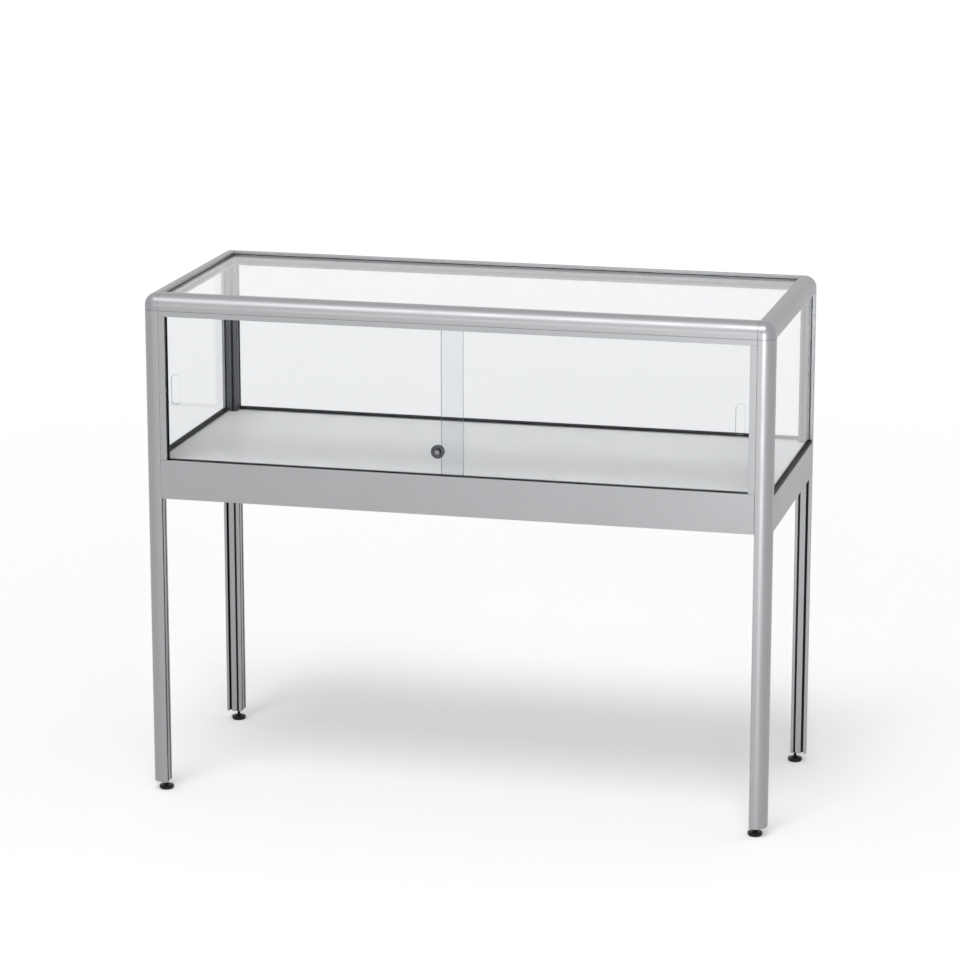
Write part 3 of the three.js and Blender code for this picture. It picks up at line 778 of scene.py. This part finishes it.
@dataclass
class ProfileBars(SubAssembly):
    """The quarter-round bar that every post and top rail is cut from."""

    groove: Point = (5.4, 10.4)
    groove_depth: float = 8.5
    slot: Point = (21.2, 25.4)
    slot_depth: float = 3.2
    port_radius: float = 4.1
    edge: float = 0.35
    long_edge: float = 0.9
    steps: int = 20

    @property
    def channels(self) -> tuple[tuple[Point, float], ...]:
        """Where each groove of a face starts and ends, and its depth."""
        return (self.groove, self.groove_depth), (self.slot, self.slot_depth)

    def bar(self, name: str, length: float, case_from: float = 0) -> Piece:
        """Model one bar, upright on the origin, with its round corner on the Z axis.

        Args:
            name: the bar's name.
            length: in millimetres.
            case_from: how far up the bar the case begins.

        Returns:
            The bar.
        """
        side = CASE.profile

        def on_long_edge(v: Vector) -> bool:
            """Say whether a point is on one of the two edges where an outer face meets an inner one."""
            return abs(v.x + v.y - side) < NEAR and min(v.x, v.y) < NEAR

        bar = add_block(name, (0, 0, 0), (side, side, length))
        pick_edges(bar, lambda a, b: max(a.x, a.y, b.x, b.y) < NEAR)
        round_picked(CASE.radius, self.steps)
        pick_edges(bar, lambda a, b: on_long_edge(a) and on_long_edge(b))
        round_picked(self.long_edge, 3)
        tools = []
        for (near, far), depth in self.channels:
            tools.append(add_block("tool", (near, side - depth, -1), (far, side + 1, length + 1)))
            tools.append(add_block("tool", (side - depth, near, -1), (side + 1, far, length + 1)))
        tools.append(add_rod("tool", self.port_radius, -1, length + 1, 24, (CASE.port, CASE.port)))
        carve(bar, *tools)
        # Cut a loop where the case begins, so that the painted shade of the inner faces starts there.
        if case_from:
            only(bar)
            bpy.ops.object.mode_set(mode="EDIT")
            bpy.ops.mesh.select_all(action="SELECT")
            bpy.ops.mesh.bisect(plane_co=(0, 0, case_from * MM), plane_no=(0, 0, 1))
            bpy.ops.object.mode_set(mode="OBJECT")
        soften(bar, self.edge)
        # Each face gets the bare metal, the black painted shade of the grooves or the painted shade of the
        # inner faces.
        paint_faces(bar, lambda middle, normal: self.zone(middle, normal, case_from))
        return bar

    def zone(self, middle: Vector, normal: Vector, case_from: float) -> int:
        """Say which finish a face of the upright bar has.

        Args:
            middle: the face's middle, in millimetres.
            normal: the face's normal.
            case_from: how far up the bar the case begins.

        Returns:
            2 for a flat inner face past the glass groove, where it looks into the case and gets the painted
            shade,
            1 for the walls and floors of the grooves, which are painted black as shade, and 0 for the rest.
        """
        views = ((middle.y, middle.x, normal.x), (middle.x, middle.y, normal.y))
        for across, inward, facing in views:
            inside = across > self.groove[1] and middle.z > case_from
            if inside and facing > FLAT and inward > CASE.profile - 0.1:
                return 2
        for across, inward, _ in views:
            for (near, far), depth in self.channels:
                down = self.edge + 0.1 < CASE.profile - inward < depth + 2 * NEAR
                if down and near - 2 * NEAR <= across <= far + 2 * NEAR:
                    return int(abs(normal.z) < 0.5)
        return 0

    def finish_bar(self, bar: Piece, name: str, axis: Axis, place: Matrix, node: str) -> None:
        """Copy a bar to its place and hand it over.

        Args:
            bar: the upright model.
            name: the piece's name.
            axis: the way that it was drawn.
            place: where it goes, in metres.
            node: the CAD node that it stands for.
        """
        # Bare metal, black painted shade in the grooves and painted shade on the inner faces, in the order of
        # zone's numbers.
        finishes = (ALUMINIUM[axis], SLOT_SHADOW, INNER_PAINTED_SHADE[axis])
        self.hand_over(settle(copy_of(bar, name), place), "anodised_aluminium", finishes, (node,))

    def build(self) -> None:
        """Make the four posts and the four top rails."""
        end = CASE.profile + CASE.seam
        post = self.bar("post", CASE.height - end - CASE.leg_end, CASE.deck_top - CASE.leg_end)
        rise = Matrix.Translation((0, 0, CASE.leg_end * MM))
        for side in Side:
            name = f"leg_post_{side.corner}"
            self.finish_bar(post, name, Axis.Z, side.place @ rise, f"post_{side.corner}")
        bpy.data.objects.remove(post)
        lay = Matrix.Translation((end * MM, 0, CASE.height * MM)) @ Matrix.Rotation(math.pi / 2, 4, "Y")
        for sides in ((Side.FRONT, Side.BACK), (Side.RIGHT, Side.LEFT)):
            rail = self.bar("rail", sides[0].length - 2 * end)
            for side in sides:
                name = f"case_top_rail_{side.label}"
                self.finish_bar(rail, name, side.axis, side.place @ lay, f"top_rail_{side.label}")
            bpy.data.objects.remove(rail)


@dataclass
class CornerBlocks(SubAssembly):
    """The three-way corner castings with their ball corners."""

    edge: float = 0.4
    ball_steps: int = 14

    def build(self) -> None:
        """Make the four corner blocks."""
        low = CASE.height - CASE.profile
        block = add_block("corner", (0, 0, low), (CASE.profile, CASE.profile, CASE.height))

        def meets_corner(a: Vector, b: Vector) -> bool:
            """Say whether an edge ends in the outer corner."""
            return any(v.x < NEAR and v.y < NEAR and v.z > CASE.height - NEAR for v in (a, b))

        pick_edges(block, meets_corner)
        round_picked(CASE.radius, self.ball_steps)
        soften(block, self.edge)
        for side in Side:
            piece = settle(copy_of(block, f"corner_block_{side.corner}"), side.place)
            self.hand_over(piece, "cast_corner", (CASTING,), (f"corner_connector_{side.corner}",))
        bpy.data.objects.remove(block)


@dataclass
class BaseFrame(SubAssembly):
    """The fascia rails round the deck, their angle brackets and the brackets' screws."""

    rail_edge: float = 0.5
    web: float = 2.5
    bracket_wall: float = 2.5
    bracket_along: float = 29
    bracket_on_post: float = 17
    bracket_height: float = 34
    bracket_edge: float = 0.4
    head_radius: float = 3.8
    head_height: float = 2.2
    dome: tuple[Point, ...] = ((0, 1.7), (0.35, 0.9), (1.1, 0.15), (1.7, 0))  # the head's side: in, and down
    socket_radius: float = 1.45
    socket_depth: float = 1.4
    screw_levels: Point = (8.5, 25.5)
    screw_along: float = 19
    screw_inward: float = 8

    @property
    def bottom(self) -> float:
        """The height of the brackets' lower ends."""
        return CASE.base_bottom + self.web + CASE.seam

    def build(self) -> None:
        """Make the rails, brackets and screws of all four sides."""
        for side in Side:
            node = f"base_rail_{side.label}"
            rail = refined(node, f"fascia_rail_{side.label}", self.rail_edge)
            self.hand_over(rail, "anodised_aluminium", (ALUMINIUM[side.axis],), (node,))
        self.brackets()
        self.screws()

    def brackets(self) -> None:
        """Make the eight angle brackets."""
        x, y, wall = CASE.profile + CASE.seam, self.web + CASE.seam, self.bracket_wall
        far, deep = x + self.bracket_along, y + self.bracket_on_post
        section = [(x, y), (far, y), (far, y + wall), (x + wall, y + wall), (x + wall, deep), (x, deep)]
        for side in Side:
            mirrored = [(side.length - across, inward) for across, inward in section]
            for end, points in (("a", section), ("b", mirrored)):
                name = f"{side.label}_{end}"
                top = self.bottom + self.bracket_height
                bracket = draw_out(f"angle_bracket_{name}", points, self.bottom, top)
                settle(soften(bracket, self.bracket_edge), side.place)
                self.hand_over(bracket, "mill_aluminium", (MILL_ALUMINIUM,), (f"rail_bracket_{name}",))

    def screw(self, name: str) -> Piece:
        """Model one button-head screw, head up on the origin.

        Args:
            name: its name.

        Returns:
            The screw.
        """
        r, h = self.head_radius, self.head_height
        dome = ((r - inward, h - down) for inward, down in self.dome)
        head = turn(name, [(0, 0), (r, 0), *dome, (0, h)], 20)
        return soften(carve(head, add_rod("tool", self.socket_radius, h - self.socket_depth, h + 1, 6)), 0)

    def screws(self) -> None:
        """Set four screws in each bracket, two in the rail and two in the post."""
        model = self.screw("screw")
        x, y = CASE.profile + CASE.seam, self.web + CASE.seam + self.bracket_wall
        into_rail = Matrix.Rotation(-math.pi / 2, 4, "X")
        into_post = Matrix.Rotation(math.pi / 2, 4, "Y")
        for side in Side:
            flip = Matrix.Translation((side.length * MM, 0, 0)) @ Matrix.Diagonal((-1, 1, 1, 1))
            for end, turned in (("a", Matrix.Identity(4)), ("b", flip)):
                parts = []
                for z in (self.bottom + level for level in self.screw_levels):
                    for spot, way in (
                        ((x + self.screw_along, y, z), into_rail),
                        ((x + self.bracket_wall, y + self.screw_inward, z), into_post),
                    ):
                        place = side.place @ turned @ Matrix.Translation(Vector(spot) * MM) @ way
                        parts.append(settle(copy_of(model, "part"), place))
                screws = join(parts)
                screws.name = screws.data.name = f"bracket_screws_{side.label}_{end}"
                bpy.ops.object.mode_set(mode="EDIT")
                close_up()
                self.hand_over(soften(screws, 0), "blackened_steel", (BLACK_ZINC,))
        bpy.data.objects.remove(model)


@dataclass
class LevellingFeet(SubAssembly):
    """The four levelling feet: a nylon pad with a hexagon, and an M6 stem that screws into the leg."""

    sole_radius: float = 12
    radius: float = 14
    hollow: Point = (8.6, 0.6)  # under the sole: its radius and depth
    hollow_slope: float = 0.4
    side: tuple[Point, ...] = ((0.5, 1.6), (0, 2.5), (0, 6.2), (0.25, 6.8), (1, 7.2))  # inward, and up
    shoulder: tuple[Point, ...] = ((7.2, 8.2), (6.6, 8.4))
    bore_slack: float = 0.35
    bore_lip: Point = (0.4, 0.1)
    bore_floor: float = 3
    hexagon: float = 5.6
    hexagon_foot: float = 8.2
    hexagon_edge: float = 0.5
    top: float = 10
    stem_radius: float = 2.95
    thread_root: float = 2.45
    pitch: float = 1.0
    crest: float = 0.12  # share of the pitch that is flat at the crest
    stem_foot: float = 3.4
    thread_from: float = 4.4
    thread_to: float = 24
    stem_top: float = 52
    stem_edge: float = 0.6

    def pad(self) -> Piece:
        """Model a pad on the Z axis.

        Returns:
            The pad.
        """
        bore = self.stem_radius + self.bore_slack
        (hollow, rise), (lip, drop), top = self.hollow, self.bore_lip, self.shoulder[-1][1]
        outline = [
            (0, rise), (hollow, rise), (hollow + self.hollow_slope, 0), (self.sole_radius, 0),
            *((self.radius - inward, up) for inward, up in self.side), *self.shoulder,
            (bore + lip, top), (bore, top - drop), (bore, self.bore_floor), (0, self.bore_floor),
        ]
        pad = soften(turn("pad", outline, 48), 0)
        nut = add_rod("nut", self.hexagon, self.hexagon_foot, self.top, 6)
        pick_edges(nut, lambda a, b: min(a.z, b.z) > self.top - NEAR)
        round_picked(self.hexagon_edge, 2)
        soften(carve(nut, add_rod("tool", bore, self.bore_floor + 2, self.top + 2, 24)), 0)
        return join([pad, nut])

    def stem(self) -> Piece:
        """Model a stem with its thread where it shows.

        Returns:
            The stem.
        """
        crest, root, pitch = self.stem_radius, self.thread_root, self.pitch
        top, edge = self.stem_top, self.stem_edge
        outline: list[Point] = [(0, self.stem_foot), (root, self.stem_foot)]
        height = self.thread_from
        while height < self.thread_to:
            outline += [(crest, height), (crest, height + self.crest * pitch), (root, height + pitch / 2)]
            height += pitch
        outline += [(crest, height), (crest, top - edge), (crest - edge, top), (0, top)]
        return soften(turn("stem", outline, 24), 0)

    def build(self) -> None:
        """Make the four feet and dress their inserts."""
        pad, stem = self.pad(), self.stem()
        for side in Side:
            corner = side.corner
            spot = side.place @ Matrix.Translation((CASE.port * MM, CASE.port * MM, 0))
            for model, kind, slot, finish in (
                (pad, "pad", "foot_plastic", NYLON), (stem, "stem", "blackened_steel", BLACK_ZINC),
            ):
                piece = settle(copy_of(model, f"levelling_{kind}_{corner}"), spot)
                self.hand_over(piece, slot, (finish,), (f"foot_{kind}_{corner}",), f"foot_{corner}")
            insert = bpy.data.objects[f"foot_insert_{corner}"]
            insert.data.materials.clear()
            insert.data.materials.append(BLACK_ZINC.material())
        for model in (pad, stem):
            bpy.data.objects.remove(model)


# ---- Case ----


@dataclass
class Deck(SubAssembly):
    """The laminated board that the goods stand on."""

    edge: float = 0.6

    def build(self) -> None:
        """Make the deck, with its edge band."""
        board = refined("deck", "deck_board", self.edge)
        paint_faces(board, lambda middle, normal: abs(normal.z) < 0.4)
        self.hand_over(board, "grey_laminate", (LAMINATE, EDGE_BAND), ("deck",))


@dataclass
class Glazing(SubAssembly):
    """The four fixed panes and the gaskets that hold them."""

    arris: float = 0.5
    gasket_edge: float = 0.15

    def build(self) -> None:
        """Make the panes and gaskets."""
        for place, axis in (("top", Axis.Z), ("left", Axis.X), ("right", Axis.X), ("back", Axis.Y)):
            pane = refined(f"glass_{place}", f"pane_{place}", self.arris, 1)
            paint_faces(pane, lambda middle, normal, n=axis.value: abs(normal[n]) < FLAT)
            sheet = GLASS if place == "top" else COATED_GLASS
            self.hand_over(pane, "clear_glass", (sheet, GLASS_EDGE), (f"glass_{place}",))
            seal = refined(f"gasket_{place}", f"seal_{place}", self.gasket_edge)
            self.hand_over(seal, "gasket_rubber", (RUBBER,), (f"gasket_{place}",))


# ---- Doors ----


@dataclass
class SlidingDoors(SubAssembly):
    """The two glass doors, their tracks, jambs and glide linings."""

    arris: float = 0.4
    metal_edge: float = 0.3
    lining_edge: float = 0.1
    lower_track_edge: float = 0.25

    def build(self) -> None:
        """Make the doors and what they run in."""
        metal, black = "anodised_aluminium", "black_plastic"
        edge = self.metal_edge
        for hand in ("left", "right"):
            node = f"door_{hand}_glass"
            door = refined(node, f"door_pane_{hand}", self.arris, 1, 60)
            paint_faces(door, lambda middle, normal: abs(normal.y) < FLAT)
            self.hand_over(door, "clear_glass", (COATED_GLASS, GLASS_EDGE), (node,), f"door_{hand}")
            self.fitting(f"door_jamb_{hand}", f"jamb_channel_{hand}", edge, metal, ALUMINIUM[Axis.Z])
            self.fitting(f"jamb_lining_{hand}", f"glide_lining_{hand}", self.lining_edge, black, TRACK_PVC)
        self.fitting("door_track_top", "upper_double_track", edge, metal, ALUMINIUM[Axis.X])
        self.fitting("door_track_bottom", "lower_double_track", self.lower_track_edge, black, TRACK_PVC)

    def fitting(self, node: str, name: str, edge: float, slot: str, finish: Finish) -> None:
        """Round a fixed fitting's edges and hand it over, as `refined` and `hand_over` say."""
        self.hand_over(refined(node, name, edge), slot, (finish,), (node,))


@dataclass
class PushLock(SubAssembly):
    """The round push lock in the left door. Its pieces are modelled upright and then laid into the door."""

    x: float = -28.8
    z: float = 704
    flange_front: float = 5.2
    seat: float = 7.2
    flange_radius: float = 13
    rim: tuple[Point, ...] = ((1.6, 0), (0.7, 0.25), (0.2, 0.8), (0, 1.3))  # the flange's edge: in, and back
    ring: Point = (8.6, 9.8)  # the groove turned in the flange
    ring_depth: float = 0.35
    ring_slope: float = 0.3
    mouth: Point = (0.4, 0.3)
    barrel_radius: float = 9.4
    barrel_end: float = 13.8
    barrel_edge: float = 0.4
    bore: float = 6.7
    nut_radius: float = 12.5
    nut: Point = (11.8, 13.8)
    nut_edges: Point = (0.2, 0.5)  # at the thread and outside
    slack: float = 0.2
    notch: Point = (2.4, 0.9)
    plunger_radius: float = 6.5
    plunger_front: float = 0.5
    plunger_rim: tuple[Point, ...] = ((0.7, 0), (0.2, 0.25), (0, 0.8))
    plunger_edge: float = 0.3
    shoulder: float = 8.5
    bolt_radius: float = 3.5
    bolt_edge: float = 0.6
    core_radius: float = 4.2
    core_length: float = 5
    core_face: tuple[Point, ...] = ((0, 0.15), (2.9, 0.15), (3.6, 0), (4, 0.1), (4.2, 0.4))  # out, and back
    core_edge: float = 0.1
    key_slot: Corner = (1.2, 5.4, 2.5)

    @property
    def place(self) -> Matrix:
        """The matrix that turns an upright piece's Z into the case's Y, at the lock."""
        spot = Vector((self.x, -CASE.depth / 2, self.z)) * MM
        return Matrix.Translation(spot) @ Matrix.Rotation(-math.pi / 2, 4, "X")

    def plate(self, name: str, colour: int, roughness: float) -> TurnedMetal:
        """Give a plated finish with its rings round the lock's axis."""
        return TurnedMetal(name, colour, roughness, centre=(self.x, 0, self.z))

    def build(self) -> None:
        """Make the lock's four pieces."""
        dark = self.plate("dark nickel plate", 0x525458, 0.24)
        bright = self.plate("bright nickel plate", 0x8E9094, 0.3)
        for piece, finish, node, body in (
            (self.barrel(), dark, "lock_barrel", "door_left"),
            (self.ring_nut(), dark, "lock_nut", "door_left"),
            (self.plunger(), dark, "lock_plunger", "lock_plunger"),
            (self.core(), bright, "lock_core", "lock_core"),
        ):
            self.hand_over(settle(piece, self.place), "dark_chrome", (finish,), (node,), body)

    def barrel(self) -> Piece:
        """Model the flanged barrel.

        Returns:
            The barrel, upright.
        """
        front, r, bore, edge = self.flange_front, self.flange_radius, self.bore, self.barrel_edge
        (near, far), slope, floor = self.ring, self.ring_slope, front + self.ring_depth
        widen, back = self.mouth
        outline = [
            (bore, front + back), (bore + widen, front),
            (near, front), (near + slope, floor), (far - slope, floor), (far, front),
            *((r - inward, front + behind) for inward, behind in self.rim),
            (r, self.seat), (self.barrel_radius, self.seat), (self.barrel_radius, self.barrel_end - edge),
            (self.barrel_radius - edge, self.barrel_end), (bore, self.barrel_end), (bore, front + back),
        ]
        return soften(turn("lock_barrel_plated", outline, 64), 0)

    def ring_nut(self) -> Piece:
        """Model the ring nut with its two spanner notches.

        Returns:
            The nut, upright.
        """
        (near, far), (inner, outer), (width, depth) = self.nut, self.nut_edges, self.notch
        inside, r = self.barrel_radius + self.slack, self.nut_radius
        outline = [
            (inside, near), (r, near), (r, far - outer), (r - outer, far), (inside + inner, far),
            (inside, far - inner), (inside, near),
        ]
        notch = add_block("tool", (-r - 1, -width / 2, far - depth), (r + 1, width / 2, far + 1))
        return soften(carve(turn("lock_ring_nut", outline, 48), notch), 0)

    def plunger(self) -> Piece:
        """Model the plunger with the key core's socket in front and the bolt behind.

        Returns:
            The plunger, upright.
        """
        socket, front, r = self.core_radius + self.slack, self.plunger_front, self.plunger_radius
        edge, tip, end, bolt = self.plunger_edge, self.bolt_edge, self.barrel_end, self.bolt_radius
        floor = front + self.core_length + edge
        outline = [
            (0, floor), (socket, floor), (socket, front + edge), (socket + edge, front),
            *((r - inward, front + behind) for inward, behind in self.plunger_rim),
            (r, self.shoulder - edge), (r - edge, self.shoulder),
            (bolt, self.shoulder), (bolt, end - tip), (bolt - tip, end), (0, end),
        ]
        return soften(turn("lock_push_plunger", outline, 56), 0)

    def core(self) -> Piece:
        """Model the key core with its slot.

        Returns:
            The core, upright.
        """
        front, end = self.plunger_front, self.plunger_front + self.core_length - self.slack
        face = [(out, front + behind) for out, behind in self.core_face]
        core = turn("lock_key_core", [*face, (self.core_radius, end), (0, end)], 48)
        width, height, depth = self.key_slot
        slot = add_block("tool", (-width / 2, -height / 2, front - 1), (width / 2, height / 2, front + depth))
        return soften(carve(core, slot), self.core_edge, 2, 50)


# ---- Studio ----


@dataclass(frozen=True)
class SoftBox:
    """A soft box that faces the case, with its place, width and height in metres and its power in watts."""

    name: str
    place: Corner
    size: Point
    power: float


@dataclass
class Studio:
    """A white studio: floor, dome, lamps and the camera at the photograph's viewing angle."""

    azimuth: float = 13.96
    elevation: float = 13.69
    distance: float = 7147.9
    lens: float = 139.23
    sensor: float = 36
    clip: Point = (0.1, 200)
    aim: Corner = (-9.04, 0, 593.0)
    floor_size: float = 90000
    floor_albedo: float = 0.8
    floor_glow: Point = (0.17, 0.28)  # near the case and far from it
    glow_reach: Point = (1.0, 6.0)  # metres from the case
    dome_light: float = 0.62
    sun_strength: float = 1.2
    sun_angle: float = 28
    sun_from: Corner = (-0.02, -0.56, 1.0)
    lit_point: Corner = (0, 0, 0.75)
    soft_boxes: tuple[SoftBox, ...] = (
        SoftBox("top_softbox", (-0.9, -2.3, 3.6), (2.8, 1.2), 4.5),
        SoftBox("right_softbox", (1.4, -3.8, 0.75), (0.9, 1.5), 48),
        SoftBox("front_softbox", (-0.9, -4.2, 1.4), (1.8, 1.2), 12),
    )

    def build(self) -> None:
        """Make everything that isn't part of the showcase."""
        self.camera()
        self.floor()
        self.dome()
        self.lamps()
        bpy.context.scene.view_settings.view_transform = "Standard"

    def camera(self) -> None:
        """Place the camera."""
        az, el = math.radians(self.azimuth), math.radians(self.elevation)
        back = Vector((math.sin(az) * math.cos(el), -math.cos(az) * math.cos(el), math.sin(el)))
        where = (Vector(self.aim) + back * self.distance) * MM
        bpy.ops.object.camera_add(location=where, rotation=(math.pi / 2 - el, 0, az))
        camera = bpy.context.active_object
        camera.data.lens, camera.data.sensor_width = self.lens, self.sensor
        camera.data.clip_start, camera.data.clip_end = self.clip
        bpy.context.scene.camera = camera

    def seen(self, tree: Tree) -> Socket:
        """Tell rays that look from rays that light.

        Args:
            tree: the nodes of a material or the world.

        Returns:
            1 for what the camera sees, straight, in a reflection or through glass, and 0 otherwise.
        """
        path = add_node(tree, "ShaderNodeLightPath")
        seen = path.outputs["Is Camera Ray"]
        for name in ("Is Glossy Ray", "Is Transmission Ray"):
            either = add_node(tree, "ShaderNodeMath", {0: seen, 1: path.outputs[name]}, operation="MAXIMUM")
            seen = either.outputs["Value"]
        return seen

    def floor(self) -> None:
        """Lay the floor, white where the camera sees it lit."""
        bpy.ops.object.select_all(action="DESELECT")
        bpy.ops.mesh.primitive_plane_add(size=self.floor_size * MM)
        floor = bpy.context.active_object
        floor.name = "studio_floor"
        made = bpy.data.materials.new("white studio floor")
        made.use_nodes = True
        tree = made.node_tree
        tree.nodes.clear()
        paint = add_node(tree, "ShaderNodeBsdfDiffuse", {"Color": (self.floor_albedo,) * 3 + (1,)})
        where = add_node(tree, "ShaderNodeTexCoord").outputs["Object"]
        away = add_node(tree, "ShaderNodeVectorMath", {0: where}, operation="LENGTH").outputs["Value"]
        reach = dict(zip(("From Min", "From Max", "To Min", "To Max"), (*self.glow_reach, *self.floor_glow)))
        level = add_node(tree, "ShaderNodeMapRange", {"Value": away, **reach}).outputs["Result"]
        strength = add_node(tree, "ShaderNodeMath", {0: self.seen(tree), 1: level}, operation="MULTIPLY")
        glow = add_node(tree, "ShaderNodeEmission", {"Strength": strength.outputs["Value"]})
        both = add_node(tree, "ShaderNodeAddShader", {0: paint.outputs["BSDF"], 1: glow.outputs["Emission"]})
        add_node(tree, "ShaderNodeOutputMaterial", {"Surface": both.outputs["Shader"]})
        floor.data.materials.append(made)

    def dome(self) -> None:
        """Light the scene from all round, with white behind it."""
        world = bpy.data.worlds.new("studio dome")
        bpy.context.scene.world = world
        world.use_nodes = True
        tree = world.node_tree
        tree.nodes.clear()
        inputs = [self.seen(tree)]
        for strength in (self.dome_light, 1.0):
            glow = {"Color": (1, 1, 1, 1), "Strength": strength}
            inputs.append(add_node(tree, "ShaderNodeBackground", glow).outputs["Background"])
        mix = add_node(tree, "ShaderNodeMixShader", dict(enumerate(inputs)))
        add_node(tree, "ShaderNodeOutputWorld", {"Surface": mix.outputs["Shader"]})

    def lamps(self) -> None:
        """Hang the soft key lamp and the soft boxes that draw the metal's highlights."""
        down = Vector(self.sun_from).to_track_quat("Z", "Y").to_euler()
        bpy.ops.object.light_add(type="SUN", rotation=down)
        sun = bpy.context.active_object
        sun.name, sun.data.energy, sun.data.angle = "key", self.sun_strength, math.radians(self.sun_angle)
        for box in self.soft_boxes:
            facing = (Vector(self.lit_point) - Vector(box.place)).to_track_quat("-Z", "Y").to_euler()
            bpy.ops.object.light_add(type="AREA", location=box.place, rotation=facing)
            lamp = bpy.context.active_object
            lamp.name, lamp.data.shape, lamp.data.energy = box.name, "RECTANGLE", box.power
            lamp.data.size, lamp.data.size_y = box.size
            lamp.visible_transmission = False  # from behind, it would show through the panes as a white patch


@dataclass
class Showcase:
    """The whole showcase."""

    kinds: tuple[type[SubAssembly], ...] = (
        ProfileBars, CornerBlocks, BaseFrame, LevellingFeet, Deck, Glazing, SlidingDoors, PushLock,
    )

    def build(self) -> None:
        """Build the sub-assemblies in order."""
        for kind in self.kinds:
            LOG.info("building %s", kind.__name__)
            kind().build()


def main() -> None:
    """Load the frame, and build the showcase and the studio."""
    logging.basicConfig(level=logging.INFO, format="%(name)s: %(message)s")
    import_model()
    Studio().build()
    Showcase().build()
    LOG.info("%d pieces made", len(SubAssembly.made))


if __name__ == "__main__":
    main()
